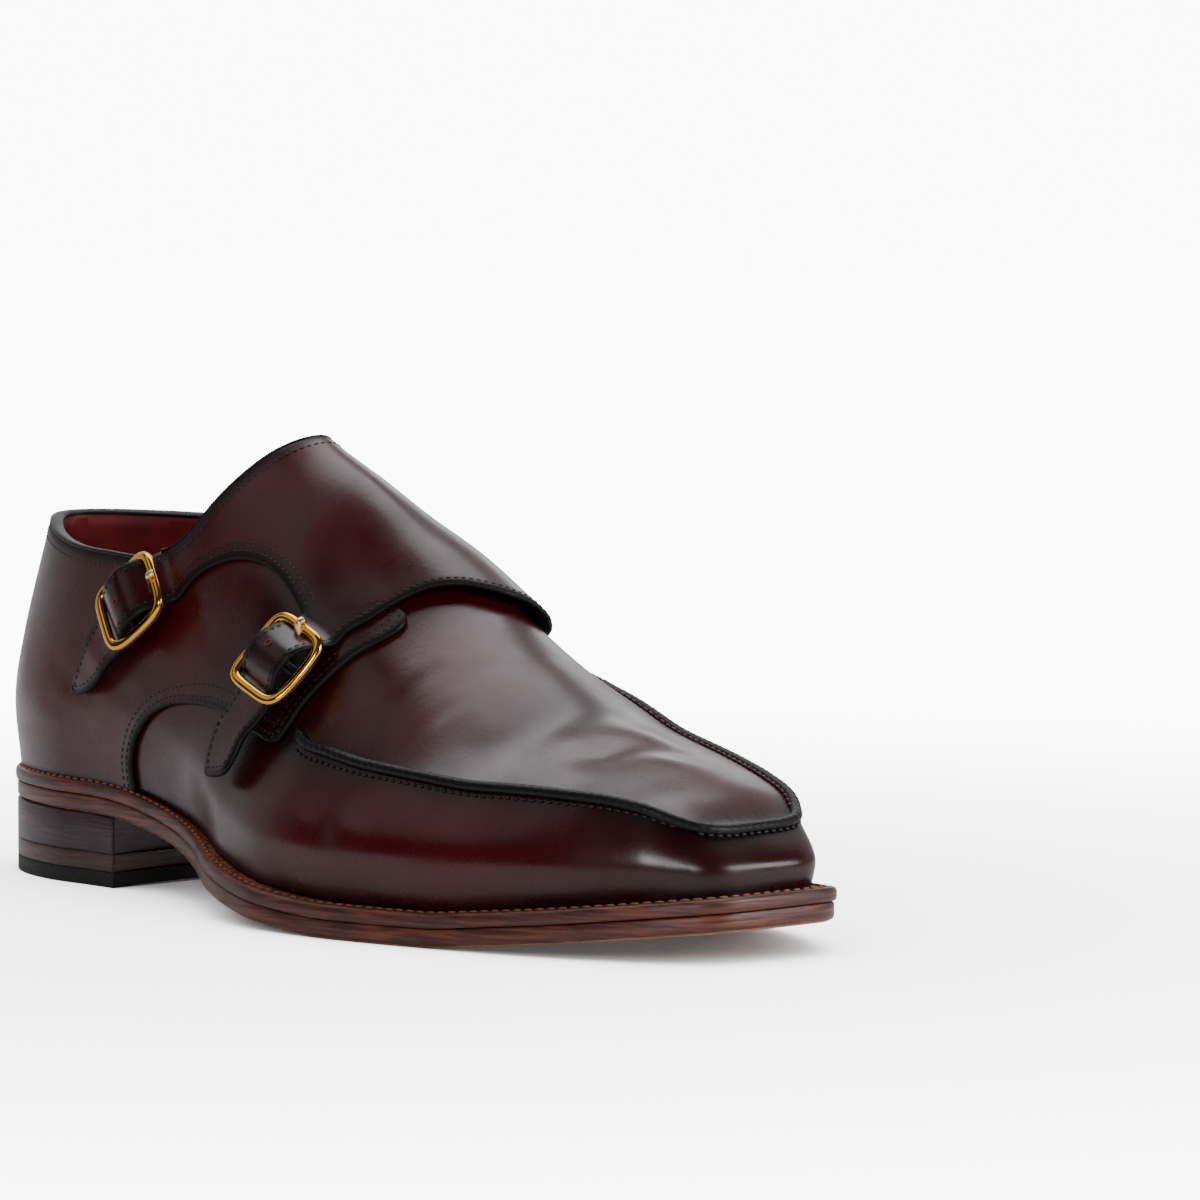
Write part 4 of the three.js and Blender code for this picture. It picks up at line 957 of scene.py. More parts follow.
def stitch_row(name, lines, spacing, size, thread):
    """Stitches along lines of (points, facing), spacing and size in millimetres."""
    points = np.concatenate([(np.asarray(p) - ORIGIN) / 1000 for p, _ in lines])
    facing = np.concatenate([f for _, f in lines])
    edges, first = [], 0
    for p, _ in lines:
        edges += [(first + k, first + k + 1) for k in range(len(p) - 1)]
        first += len(p)
    mesh = bpy.data.meshes.new(name)
    mesh.from_pydata(points.tolist(), edges, [])
    mesh.attributes.new("facing", "FLOAT_VECTOR", "POINT").data.foreach_set("vector", facing.ravel())
    piece = bpy.data.objects.new(name, mesh)
    bpy.context.collection.objects.link(piece)
    rows = piece.modifiers.new("rows", "NODES")
    rows.node_group = stitch_group
    values = {"Spacing": spacing / 1000, "Stitch": [v / 1000 for v in size], "Thread": thread}
    for socket in stitch_group.interface.items_tree:
        if socket.name in values and socket.in_out == "INPUT":
            rows[socket.identifier] = values[socket.name]
    bpy.context.view_layer.update()
    whole = bpy.data.meshes.new_from_object(piece.evaluated_get(bpy.context.evaluated_depsgraph_get()))
    piece.modifiers.remove(rows)
    piece.data = whole
    if not whole.materials:
        whole.materials.append(thread)
    whole.polygons.foreach_set("use_smooth", [True] * len(whole.polygons))
    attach(piece, "root")
    return piece


def step_in(line, distance):
    """A line of (a, t) on the last moved inward, to the left of its way, by millimetres; as (a, t)."""
    a, t = np.array(line, float).T
    small = 0.002
    at = section(a, t)
    da = (section(a + small, t) - section(a - small, t)) / (2 * small)
    dt = (section(a, t + small) - section(a, t - small)) / (2 * small)
    inward = unit(np.cross(normal_at(a, t), np.gradient(at, axis=0))) * distance
    aa, cross, tt = (np.sum(p * q, 1) for p, q in ((da, da), (da, dt), (dt, dt)))
    pa, pt = np.sum(inward * da, 1), np.sum(inward * dt, 1)
    spread = aa * tt - cross**2
    return np.stack([a + (pa * tt - pt * cross) / spread, t + (pt * aa - pa * cross) / spread], 1)


def on_panel(line, lift):
    """The place and facing of an (a, t) line at a lift off the last."""
    a, t = np.array(line, float).T
    normal = normal_at(a, t)
    base = last_surface(a, t)
    height = lift(a, t) + relief(base)
    return base + normal * height[:, None], normal


dark_thread, tree = new_material("dark_waxed_thread")
finish_material(tree, {"Base Color": hexcolor("170809"), "Roughness": 0.5})


# Lateral quarter: calf over the shell from the heel to the front buckle, closed under the flap.
# Rows are at of LAST and up of INSTEP over the welt, seen from the side.
LEATHER, CLEARANCE = 1.4, 0.3
LATERAL_SEAM = [
    (0.262, 0.0),
    (0.262, 0.035),
    (0.264, 0.085),
    (0.275, 0.16),
    (0.29, 0.218),
    (0.31, 0.265),
    (0.335, 0.3),
    (0.375, 0.332),
    (0.415, 0.347),
    (0.46, 0.342),
    (0.5, 0.337),
    (0.516, 0.348),
]
LATERAL_FRONT = [
    (0.516, 0.348),
    (0.522, 0.385),
    (0.532, 0.455),
    (0.548, 0.527),
    (0.564, 0.592),
    (0.579, 0.638),
    (0.586, 0.673),
    (0.58, 0.703),
    (0.56, 0.732),
]
lateral_seam = spline(from_side(LATERAL_SEAM, -1))
lateral_front = spline(from_side(LATERAL_FRONT, -1))
hidden_end = spline([lateral_front[-1], (0.5, -0.1), (0.44, -0.06), (0.4, -0.03), lateral_collar[-2]])
lateral_outline = closed(
    [
        to_flat([(0, -1), lateral_seam[0]]),
        to_flat(lateral_seam),
        to_flat(lateral_front),
        to_flat(hidden_end),
        to_flat(lateral_collar[-2::-1]),
        to_flat([lateral_collar[0], (0, -1)]),
    ],
    1.1,
)


def quarter_low(a, t):
    return np.full_like(a, CLEARANCE)


def quarter_high(a, t):
    return np.full_like(a, CLEARANCE + LEATHER)


lateral_quarter = leather_panel(
    "lateral_quarter_calf", lateral_outline, quarter_low, quarter_high, 2.2, [burgundy, dark_edge]
)
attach(lateral_quarter, "root")
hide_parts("lateral_quarter")


# Buckles: the middle of each frame along and around the last, the lean of its strap from the side, and
# the way its flat face looks. Each has its own map: u runs down the strap from the centre bar, v across
# it toward the toe, on the last's surface or on the frame's own plane.
STRAP_WIDTH = 14.5
BUCKLE_LENGTH, BUCKLE_WIDTH = 21.5, 20.0
BUCKLE_STAND, BUCKLE_BOW = 8.8, 0.8
BUCKLES = {
    "front": {"along": 0.513, "around": -0.375, "lean": (-0.37, 0, -0.93), "face": (0.17, -0.82, 0.53)},
    "rear": {"along": 0.272, "around": -0.35, "lean": (-0.745, 0, -0.667), "face": (-0.02, -0.94, 0.3)},
}


class BuckleMap:
    def __init__(self, along, around, lean, face):
        self.at = np.array([along, around])
        small = 0.002
        middle = section(along, around)
        normal = normal_at(along, around)
        step_a = (section(along + small, around) - middle) / small
        step_t = (section(along, around + small) - middle) / small
        down = np.array(lean) - normal * np.dot(lean, normal)
        down = down / np.linalg.norm(down)
        self.axes = np.stack([down, np.cross(normal, down)])
        self.spans = np.stack([step_a, step_t])
        self.steps = np.linalg.pinv(self.spans.T)
        self.middle, self.face = middle + normal * BUCKLE_STAND, unit(np.array(face))
        down = unit(np.array(lean) - self.face * np.dot(lean, self.face))
        self.plane = np.stack([down, np.cross(self.face, down), self.face])

    def rigid(self, u, v, lift):
        """A place on the frame's own plane; lift is from its middle."""
        return self.middle + np.stack(np.broadcast_arrays(u, v, lift), -1) @ self.plane

    def flat(self, u, v):
        """(a, t) of a place on the strap."""
        moved = np.stack(np.broadcast_arrays(u, v), -1) @ self.axes
        return self.at + moved @ self.steps.T

    def place_of(self, a, t):
        """u and v of a place on the last."""
        return ((np.stack([a, t], -1) - self.at) @ self.spans @ self.axes.T).T

    def lifted(self, u, v, lift):
        a, t = np.moveaxis(self.flat(u, v), -1, 0)
        return section(a, t) + normal_at(a, t) * np.asarray(lift)[..., None]


maps = {name: BuckleMap(**row) for name, row in BUCKLES.items()}


# Medial quarter: it goes on over the instep as the flap and ends in the two straps. Between the
# straps its edge is an arch. The tails are down and across shares of BUCKLE_LENGTH and STRAP_WIDTH.
MEDIAL_SEAM = [
    (0.266, 0.0),
    (0.27, 0.1),
    (0.281, 0.193),
    (0.3, 0.294),
    (0.327, 0.375),
    (0.355, 0.425),
    (0.39, 0.456),
    (0.45, 0.477),
    (0.505, 0.488),
    (0.531, 0.493),
]
MEDIAL_FRONT = [(0.531, 0.493), (0.552, 0.535), (0.577, 0.585), (0.602, 0.63), (0.616, 0.668)]
FLAP_FRONT = [(0.581, 0.757), (0.573, 0.74), (0.567, 0.716), (0.559, 0.672), (0.549, 0.64)]
FLAP_ARCH = [(0.472, 0.705), (0.456, 0.729), (0.43, 0.743), (0.4, 0.734), (0.372, 0.7), (0.347, 0.645)]
TAILS = {
    "front": [
        (0.54, -0.1, 0.58),
        (1.1, -0.27, 0.57),
        (1.65, -0.16, 0.54),
        (2.0, -0.1, 0.46),
        (2.2, -0.14, 0.29),
        (2.36, -0.25, 0.05),
    ],
    "rear": [
        (0.54, 0, 0.54),
        (0.95, 0.06, 0.46),
        (1.5, 0.3, 0.41),
        (1.97, 0.48, 0.28),
        (2.2, 0.54, 0.16),
        (2.38, 0.56, 0.04),
    ],
}
QUARTER_LIFT = CLEARANCE
FLAP_LIFT = QUARTER_LIFT + LEATHER + CLEARANCE
BAR_WIRE, PRONG_WIRE, FLAP_RISE = 0.75, 0.8, 2.8
BAR_LIFT = FLAP_LIFT + CLEARANCE + BAR_WIRE

# How far a strap stands over the flap's lift, down from the bar in millimetres: under the frame's first
# end, in a round loop over the bar, under the second end, and hanging to its tip.
STRAP_RISE = [
    (-14, 0),
    (-11, 0.7),
    (-8.5, 4),
    (-5, 8),
    (-1, 9.8),
    (3, 9.6),
    (7, 7.4),
    (10, 5),
    (15, 3.8),
    (27, 3.4),
    (38, 2.6),
    (52, 1.8),
]



def strap_edge(name, sign):
    """A strap's edge from above the buckle down to its tip, as (a, t); sign 1 is its toe side."""
    down, centre, half = np.array(TAILS[name]).T
    u = np.concatenate([np.linspace(-0.56, 0.3, 9), down]) * BUCKLE_LENGTH
    v = np.concatenate([[sign * 0.55] * 9, centre + sign * half]) * STRAP_WIDTH
    return maps[name].flat(u, v)


rear_back, rear_fore = strap_edge("rear", -1), strap_edge("rear", 1)
rear_back = rear_back[over_collar(section(*rear_back.T)) < -0.4]
collar_down_to = int(np.searchsorted(-lateral_collar[::-1, 0], -rear_back[0, 0]))
flap_collar = lateral_collar[::-1][:collar_down_to]
front_back, front_fore = strap_edge("front", -1), strap_edge("front", 1)
medial_seam = spline(from_side(MEDIAL_SEAM, 1))
medial_front = spline(from_side(MEDIAL_FRONT, 1))
flap_arch = from_side(FLAP_ARCH, -1)
flap_front = from_side(FLAP_FRONT, -1)
throat = np.array([[0.587, 0.0], [0.602, 0.08], [0.615, 0.16]])
rear_edge = spline(np.concatenate([flap_collar[-1:], rear_back, rear_fore[::-1]]), 8)
arch_edge = spline(np.concatenate([rear_fore[:1], flap_arch[::-1], front_back[:1]]))
front_strap_edge = spline(np.concatenate([front_back, front_fore[::-1]]), 8)
fore_line = spline(np.concatenate([front_fore[:1], flap_front[::-1], throat, medial_front[-1:]]))
flap_outline = closed(
    [
        to_flat(flap_collar),
        to_flat(rear_edge),
        to_flat(arch_edge),
        to_flat(front_strap_edge),
        to_flat(fore_line),
        to_flat(medial_front[::-1]),
        to_flat(medial_seam[::-1]),
        to_flat([medial_seam[0], (0, 1)]),
        to_flat([(0, 1), medial_collar[0]]),
        to_flat(medial_collar),
    ],
    1.0,
)


def flap_lift(a, t):
    """The flap lies on the last, then on the lateral quarter, stands off a little at its front edge, and
    its straps rise over the buckles' bars."""
    over = soft(-t, -0.05, 0.1) * soft(a, 0.02, 0.12)
    front = soft(a, 0.42, 0.58) * soft(t, -0.16, 0.06) * (1 - soft(t, 0.42, 0.64))
    lift = QUARTER_LIFT + (FLAP_LIFT - QUARTER_LIFT) * over + FLAP_RISE * front
    for buckle in maps.values():
        u, v = buckle.place_of(a, t)
        lift = lift + curve(STRAP_RISE, 1, u) * (1 - soft(np.abs(v), 9.5, 17))
    return lift


def flap_high(a, t):
    return flap_lift(a, t) + LEATHER


flap = leather_panel(
    "medial_quarter_and_flap_calf",
    flap_outline,
    flap_lift,
    flap_high,
    1.9,
    [burgundy, dark_edge],
)
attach(flap, "root")
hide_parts("medial_quarter_and_flap")


# Apron seam: the apron and the vamp's wall are gathered into a raised bead, a little thinner at each
# of its stitches. BEAD_DRIFT is how far it leaves the rail on the lateral side, along the last.
SEAM_BEAD, BEAD_STEP, APRON_STITCH = 1.6, 0.45, 2.5
BEAD_DRIFT = [
    (0.545, 0.03),
    (0.56, 0.015),
    (0.61, 0.012),
    (0.66, 0.006),
    (0.71, 0),
    (0.82, -0.01),
    (0.88, -0.013),
    (1, 0),
]
bead_side = np.linspace(0, 1, 160)
bead_from = 0.54 + 0.46 * bead_side
bead_line = np.concatenate(
    [
        last_surface(bead_from, -0.5 + curve(BEAD_DRIFT, 1, bead_from)),
        nose_surface(np.linspace(-1, 1, 60)[1:-1], np.ones(58)),
        last_surface(1 - 0.405 * bead_side, np.full(160, 0.5)),
    ]
)
bead_line = even(bead_line, BEAD_STEP)
forward = soft(bead_line[:, 0], 270, 300) * 0.8
bead_facing = unit(np.stack([forward, 0.55 * np.sign(bead_line[:, 1]), np.ones(len(bead_line))], 1))
run = np.arange(len(bead_line)) * BEAD_STEP
pinch = 0.94 + 0.08 * np.abs(np.sin(np.pi * run / APRON_STITCH)) ** 0.6
ends = soft(run, 0, 6) * soft(run[-1] - run, 0, 6)
bead_points, bead_faces = strand(
    bead_line + bead_facing * 0.35, bead_facing, SEAM_BEAD * pinch * ends, SEAM_BEAD * 0.95 * pinch * ends, 12
)
burnished, tree = new_material("burnished_calf_edge")
burnished_at = add(tree, "ShaderNodeTexCoord").outputs["Object"]
burnished_grain = add(tree, "ShaderNodeTexNoise", {"Vector": burnished_at, "Scale": 1000 / 1.0, "Detail": 3})
burnished_look = {"Base Color": hexcolor("080304"), "Roughness": 0.44, "Specular IOR Level": 0.3}
finish_material(tree, burnished_look, burnished_grain, 0.0001)
apron_seam = make_mesh("apron_bead", bead_points, bead_faces, [burnished])
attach(apron_seam, "root")
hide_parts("apron_seam")


# Stitching of the upper: waxed dark thread in rows along the panels' edges, double at the arch and at
# the seams on the vamp, a reddish braided row inside the apron seam, and a dark binding folded over
# the collar.
SECOND_ROW, COLLAR_ROW = 4.3, 3.6
STITCH_SPACING, STITCH = 2.1, (1.45, 0.5, 0.36)


def row_inside(line, outline, distance, lift):
    """A row at a distance inside a panel's edge, as points and facings on the panel's face."""
    moved = step_in(line, distance)
    if not within(to_flat(moved[len(moved) // 2 : len(moved) // 2 + 1]), outline)[0]:
        moved = step_in(line, -distance)
    points, facing = on_panel(moved, lift)
    return points + facing * 0.05, facing


flap_rows = []
for line, distances in (
    (arch_edge[3:-2], (STITCH_IN, SECOND_ROW)),
    (fore_line[3:], (STITCH_IN,)),
    (medial_front[::-1], (STITCH_IN,)),
    (medial_seam[::-1], (STITCH_IN, SECOND_ROW)),
    (front_strap_edge, (STITCH_IN,)),
    (rear_edge[12:], (STITCH_IN,)),
    (medial_collar[4:], (COLLAR_ROW,)),
    (flap_collar, (COLLAR_ROW,)),
):
    flap_rows += [row_inside(line, flap_outline, d, flap_high) for d in distances]
stitch_row("flap_stitches", flap_rows, STITCH_SPACING, STITCH, dark_thread)
quarter_rows = []
for line, distances in (
    (lateral_seam, (STITCH_IN, SECOND_ROW)),
    (lateral_front, (STITCH_IN, SECOND_ROW)),
    (lateral_collar[-14::-1], (COLLAR_ROW,)),
):
    quarter_rows += [row_inside(line, lateral_outline, d, quarter_high) for d in distances]
stitch_row("quarter_stitches", quarter_rows, STITCH_SPACING, STITCH, dark_thread)

binding_parts = []
for line, face in (
    (np.concatenate([lateral_collar[::-1][collar_down_to - 1 :], medial_collar[1:20]]), quarter_high),
    (np.concatenate([flap_collar[::-1], medial_collar[::-1][1:-18]]), flap_high),
):
    a, t = line.T
    base, normal = last_surface(a, t), normal_at(a, t)
    top = face(a, t)
    half = (top + LINING_WALL) / 2 + 0.1
    centre = base + normal * (top - half + 0.1)[:, None]
    binding_parts.append(strand(centre, normal, 0.8, half, 14, False, 2.6))
binding = make_mesh("collar_binding", *gathered(binding_parts), [burnished])
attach(binding, "root")

apron_rows = []
for start, side in ((0.56, -1), (0.61, 1)):
    a = np.linspace(start, 0.985, 120)
    t = side * 0.528 + (curve(BEAD_DRIFT, 1, a) if side < 0 else 0)
    apron_rows.append((last_surface(a, t) + normal_at(a, t) * 0.25, normal_at(a, t)))
nose_at = (np.linspace(-0.92, 0.92, 60), np.full(60, 0.93))
nose_row = nose_surface(*nose_at)
apron_rows.append((nose_row + [0.35, 0, 0.1], np.tile([0.8, 0, 0.6], (60, 1))))
stitch_row("apron_stitches", apron_rows, APRON_STITCH, (2.0, 1.0, 0.8), dark_thread)
braid_at = (np.linspace(0.6, 0.985, 120), np.full(120, 0.462))
braid_base, braid_facing = last_surface(*braid_at), normal_at(*braid_at)
braid_thread, tree = new_material("burgundy_waxed_thread")
finish_material(tree, {"Base Color": hexcolor("4a1519"), "Roughness": 0.4})
braid_rows = [(braid_base + braid_facing * 0.35, braid_facing)]
stitch_row("apron_braid", braid_rows, APRON_STITCH, (2.3, 1.4, 1.0), braid_thread)


# Buckles: a bowed frame of polished gold-coloured brass wire, a centre bar under the strap, a paler
# prong that comes up through it and rests on the frame, and the leather tab that holds the bar. The
# bar is dark, as the tab's leather is folded round it, and its dark leather is also painted shade for the
# shadow it lies in under the strap.
TAB_ROWS, TAB_COLUMNS = 8, 9
gold, tree = new_material("polished_gold_brass")
gold_at = add(tree, "ShaderNodeTexCoord").outputs["Object"]
wear = add(tree, "ShaderNodeTexNoise", {"Vector": gold_at, "Scale": 1000 / 6, "Detail": 3})
wear = add(tree, "ShaderNodeMapRange", {0: wear, 1: 0.3, 2: 0.7, 3: 0.1, 4: 0.2}, **SMOOTH)
finish_material(tree, {"Base Color": hexcolor("f3b23c"), "Metallic": 1.0, "Roughness": wear})
pale_gold, tree = new_material("brushed_pale_gold")
finish_material(tree, {"Base Color": hexcolor("f6d595"), "Metallic": 1.0, "Roughness": 0.3})
for name, at in maps.items():
    half_u, half_v = BUCKLE_LENGTH / 2, BUCKLE_WIDTH / 2
    angle = np.linspace(0, 2 * np.pi, 120, endpoint=False)
    c, s = np.cos(angle), np.sin(angle)
    square = (np.abs(c) ** 5 + np.abs(s) ** 5) ** -0.2
    u, v = half_u * square * c, half_v * square * s
    frame_line = at.rigid(u, v, BUCKLE_BOW * ((u / half_u) ** 2 - 1))
    parts = [strand(frame_line, at.face, 1.45, 1.2, 16, True, 2.6)]
    leg_v = half_v - 3.6
    bar_v = np.linspace(-1, 1, 7)[1:-1] * leg_v
    bar_line = np.concatenate(
        [
            [at.rigid(0, 0.4 - half_v, -BUCKLE_BOW)],
            at.lifted(np.zeros(7), np.array([-leg_v, *bar_v, leg_v]), np.full(7, BAR_LIFT)),
            [at.rigid(0, half_v - 0.4, -BUCKLE_BOW)],
        ]
    )
    bar_facing = unit(at.lifted(0.0, 0.0, 5.0) - at.lifted(0.0, 0.0, 0.0))
    parts.append(strand(spline(bar_line, 5), bar_facing, BAR_WIRE, BAR_WIRE, 10))
    # The bar takes the dark leather: painted shade for the shadow under the strap, as well as the tab's wrap.
    painted_shade_bar_slots = [0] * len(parts[0][1]) + [1] * len(parts[1][1])
    buckle = make_mesh(f"{name}_buckle_frame", *gathered(parts), [gold, burnished], painted_shade_bar_slots)
    rest = 1.3 + PRONG_WIRE
    prong_line = np.stack(
        [
            at.lifted(-2.5, 0.0, BAR_LIFT + 2.4),
            at.lifted(-4.5, 0.0, BAR_LIFT + 3.2),
            at.lifted(-7.5, 0.0, BAR_LIFT + 4.3),
            at.rigid(-half_u, 0, rest),
            at.rigid(-half_u - 1.8, 0, rest - 0.5),
        ]
    )
    prong_line = spline(prong_line, 8)
    thin = np.linspace(1, 0.85, len(prong_line))
    prong_points, prong_faces = strand(prong_line, at.face, 1.25 * thin, 0.9 * thin, 12, power=2.6)
    prong = make_mesh(f"{name}_buckle_prong", prong_points, prong_faces, [pale_gold])
    tab_u = np.repeat(np.linspace(1.4, 0.38 * BUCKLE_LENGTH, TAB_ROWS), TAB_COLUMNS)
    tab_v = np.tile(np.linspace(-0.3, 0.3, TAB_COLUMNS) * BUCKLE_WIDTH, TAB_ROWS)
    tab_count = len(tab_u)
    low = at.lifted(tab_u, tab_v, np.full(tab_count, FLAP_LIFT))
    high = at.lifted(tab_u, tab_v, np.full(tab_count, FLAP_LIFT + LEATHER))
    tab_faces = np.array(grid_faces(TAB_ROWS, TAB_COLUMNS, 0))
    tab_faces = np.concatenate([tab_faces[:, [0, 1, 2]], tab_faces[:, [0, 2, 3]]])
    tab_back = tab_faces[:, ::-1] + tab_count
    every = [*tab_faces.tolist(), *tab_back.tolist(), *rim(tab_faces, tab_count)]
    tab = make_mesh(f"{name}_buckle_tab", np.concatenate([high, low]), every, [burnished])
    for piece, cad_name, material_slot in (
        (buckle, "buckle_", "gold_metal"),
        (prong, "buckle_prong_", "gold_metal"),
        (tab, "buckle_tab_", "dark_calf"),
    ):
        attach(piece, "root")
        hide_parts(cad_name + name)


# Spare holes in the straps, seen on their loops: punched, with raw reddish rims and a dark disc inside each
# rim as painted shade for the hole's depth. Down and across from the bar in millimetres.
SPARE_HOLES = {"front": (-2.5, -2.0), "rear": (0.8, 0.2)}
hole_rim, tree = new_material("punched_leather_rim")
finish_material(tree, {"Base Color": hexcolor("6a1f18"), "Roughness": 0.7})
for name, (down, across) in SPARE_HOLES.items():
    turn = np.linspace(0, 2 * np.pi, 16, endpoint=False)
    rings = []
    for radius in (0.8, 0.55):
        u, v = down + radius * np.cos(turn), across + radius * np.sin(turn)
        rings.append(maps[name].lifted(u, v, flap_high(*maps[name].flat(u, v).T) + 0.05))
    facing = unit(np.cross(rings[0][4] - rings[0][0], rings[0][8] - rings[0][0]))
    facing = facing * np.sign(facing @ maps[name].face)
    rim_points, rim_faces = strand(rings[0], facing, 0.4, 0.2, 8, True)
    points = np.concatenate([rim_points, rings[1]])
    # The dark disc inside the rim is painted shade: the hole is not cut through.
    painted_hole_shade = tuple(range(len(rim_points), len(points)))
    which = [0] * len(rim_faces) + [1]
    hole = make_mesh(f"{name}_strap_hole", points, [*rim_faces, painted_hole_shade], [hole_rim, dark_edge], which)
    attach(hole, "root")


# Bottom: outlines of the sole's layers from above, in from the welt's edge by an inset, with the
# toe's corners rounded. REACH rows are at, then lateral and medial shares of WELT_EDGE.
WELT_EDGE, WELT_SEAT = 6.0, 8.0
HEEL_LENGTH, BREAST_HOLLOW = 69.0, 4.0
CORNER_REACH = 15.0
REACH = [
    (0, 0.5, 0.5),
    (0.25, 0.5, 0.5),
    (0.35, 0.6, 0.5),
    (0.42, 0.95, 0.55),
    (0.5, 1.1, 0.6),
    (0.62, 1.08, 0.72),
    (0.75, 0.95, 0.75),
    (1, 1, 0.8),
]


def sole_outline(inset, breast=False, inside=False):
    """One closed loop of (x, y) from the heel's back along the lateral side; always the same count."""
    feather = RAILS["feather"]
    sides = []
    for k, side in ((1, -1), (2, 1)):
        key = "lateral" if side < 0 else "medial"
        start = feather["back"] * LAST - (0 if inside else WELT_EDGE * 0.55) + inset
        end = feather[key] * LAST + (0 if inside else WELT_EDGE) - inset
        length = (HEEL_LENGTH - start) / (end - start) if breast else 1.0
        u = np.linspace(0, 1, 141)
        a = length * u * u / (u + PULL) * (1 + PULL)
        x = (feather["back"] + (feather[key] - feather["back"]) * a) * LAST
        out = (0 if inside else WELT_EDGE * curve(REACH, k, x / LAST)) - inset
        half = curve(feather["rows"], 1 if side < 0 else 3, x / LAST) * BALL + out
        sides.append(np.stack([start + (end - start) * a, side * half * heel_turn(feather, x)], 1))
    bow = -BREAST_HOLLOW if breast else bow_at(0.0)
    b = np.linspace(-1, 1, 51)[1:-1]
    front = sides[0][-1] + (sides[1][-1] - sides[0][-1]) * ((b + 1) / 2)[:, None]
    front[:, 0] += bow * (1 - np.abs(b) ** (2 if breast else 4))
    loop = np.concatenate([sides[0], front, sides[1][::-1][:-1]])
    if breast:
        return loop
    out = loop.copy()
    for corner, before, after in ((140, 137, 144), (190, 187, 193)):
        inward, onward = unit(loop[corner] - loop[before]), unit(loop[after] - loop[corner])
        r = np.linalg.norm(loop - loop[corner], axis=1, keepdims=True)
        out += (onward - inward) * np.maximum(CORNER_REACH - r, 0) ** 2 / (4 * CORNER_REACH)
    return out


def layered(name, levels, materials, which=None, cap=True):
    """A piece from levels of (outline, height function), bottom to top; flat ends are filled."""
    rings = [np.column_stack([loop, height(loop[:, 0])]) for loop, height in levels]
    n = len(rings[0])
    points = np.concatenate(rings)
    faces = []
    for k in range(len(rings) - 1):
        for j in range(n):
            i = (j + 1) % n
            faces.append((k * n + j, k * n + i, (k + 1) * n + i, (k + 1) * n + j))
    marks = list(np.repeat(which if which is not None else [0] * (len(rings) - 1), n))
    if cap:
        half = n // 2
        for ring, flip in ((0, True), (len(rings) - 1, False)):
            for j in range(half):
                quad = (ring * n + j, ring * n + j + 1, ring * n + (n - 1 - j) % n, ring * n + (n - j) % n)
                if j + 1 <= n - 1 - j:
                    clean = tuple(dict.fromkeys(quad))
                    if len(clean) > 2:
                        faces.append(clean[::-1] if flip else clean)
                        marks.append(marks[0] if flip else marks[-1])
    run = np.concatenate([[0], np.cumsum(np.linalg.norm(np.diff(rings[0][:, :2], axis=0), axis=1))])
    streak = np.column_stack([np.tile(run, len(rings)), points[:, 2], np.zeros(len(points))]) / 1000
    return make_mesh(name, points, faces, materials, marks, attributes={"streak": streak})


def edge_leather(name, light, dark, rough=0.42):
    """A waxed leather edge with streaks that run along it."""
    look, tree = new_material(name)
    along = add(tree, "ShaderNodeAttribute", attribute_name="streak").outputs["Vector"]
    streaks = add(tree, "ShaderNodeMapping", {"Vector": along, "Scale": (0.07, 1, 1)})
    streaks = add(tree, "ShaderNodeTexNoise", {"Vector": streaks, "Scale": 1000 / 1.1, "Detail": 4})
    streaks = add(tree, "ShaderNodeMapRange", {0: streaks, 1: 0.32, 2: 0.7}, **SMOOTH)
    spots = add(tree, "ShaderNodeMapping", {"Vector": along, "Scale": (0.4, 1, 1)})
    spots = add(tree, "ShaderNodeTexNoise", {"Vector": spots, "Scale": 1000 / 7, "Detail": 3})
    spots = add(tree, "ShaderNodeMapRange", {0: spots, 1: 0.35, 2: 0.7, 3: 0, 4: 0.6}, **SMOOTH)
    shades = {"Factor": streaks, "A": hexcolor(dark), "B": hexcolor(light)}
    colour = add(tree, "ShaderNodeMix", shades, **RGBA)
    colour = add(tree, "ShaderNodeMix", {"Factor": spots, "A": colour, "B": hexcolor(dark)}, **RGBA)
    finish_material(
        tree,
        {"Base Color": colour, "Roughness": rough, "Coat Weight": 0.15, "Coat Roughness": 0.3},
        streaks,
        0.00012,
    )
    return look


# Outsole: leather, its edge waxed brown with a wood-like grain, a narrow bevel below.
sole_brown = edge_leather("waxed_sole_edge", "84452a", "42201a")
sole_bottom, tree = new_material("sole_leather")
sole_at = add(tree, "ShaderNodeTexCoord").outputs["Object"]
stain = add(tree, "ShaderNodeTexNoise", {"Vector": sole_at, "Scale": 1000 / 20, "Detail": 4})
stain = add(tree, "ShaderNodeMapRange", {0: stain, 1: 0.3, 2: 0.7}, **SMOOTH)
bottom_colour = {"Factor": stain, "A": hexcolor("a9805a"), "B": hexcolor("8d6748")}
bottom_colour = add(tree, "ShaderNodeMix", bottom_colour, **RGBA)
sole_grain = add(tree, "ShaderNodeTexNoise", {"Vector": sole_at, "Scale": 1000 / 0.5, "Detail": 3})
finish_material(tree, {"Base Color": bottom_colour, "Roughness": 0.55}, sole_grain, 0.00005)
outsole = layered(
    "outsole_leather",
    [
        (sole_outline(1.9), underside),
        (sole_outline(0.85), lambda x: underside(x) + 0.55),
        (sole_outline(0.5), lambda x: underside(x) + 1.3),
        (sole_outline(0.5), lambda x: underside(x) + OUTSOLE - 0.5),
        (sole_outline(0.75), lambda x: underside(x) + OUTSOLE - 0.1),
    ],
    [sole_brown, sole_bottom],
)
for polygon in outsole.data.polygons:
    if polygon.normal.z < -0.8:
        polygon.material_index = 1
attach(outsole, "root")
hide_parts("outsole")


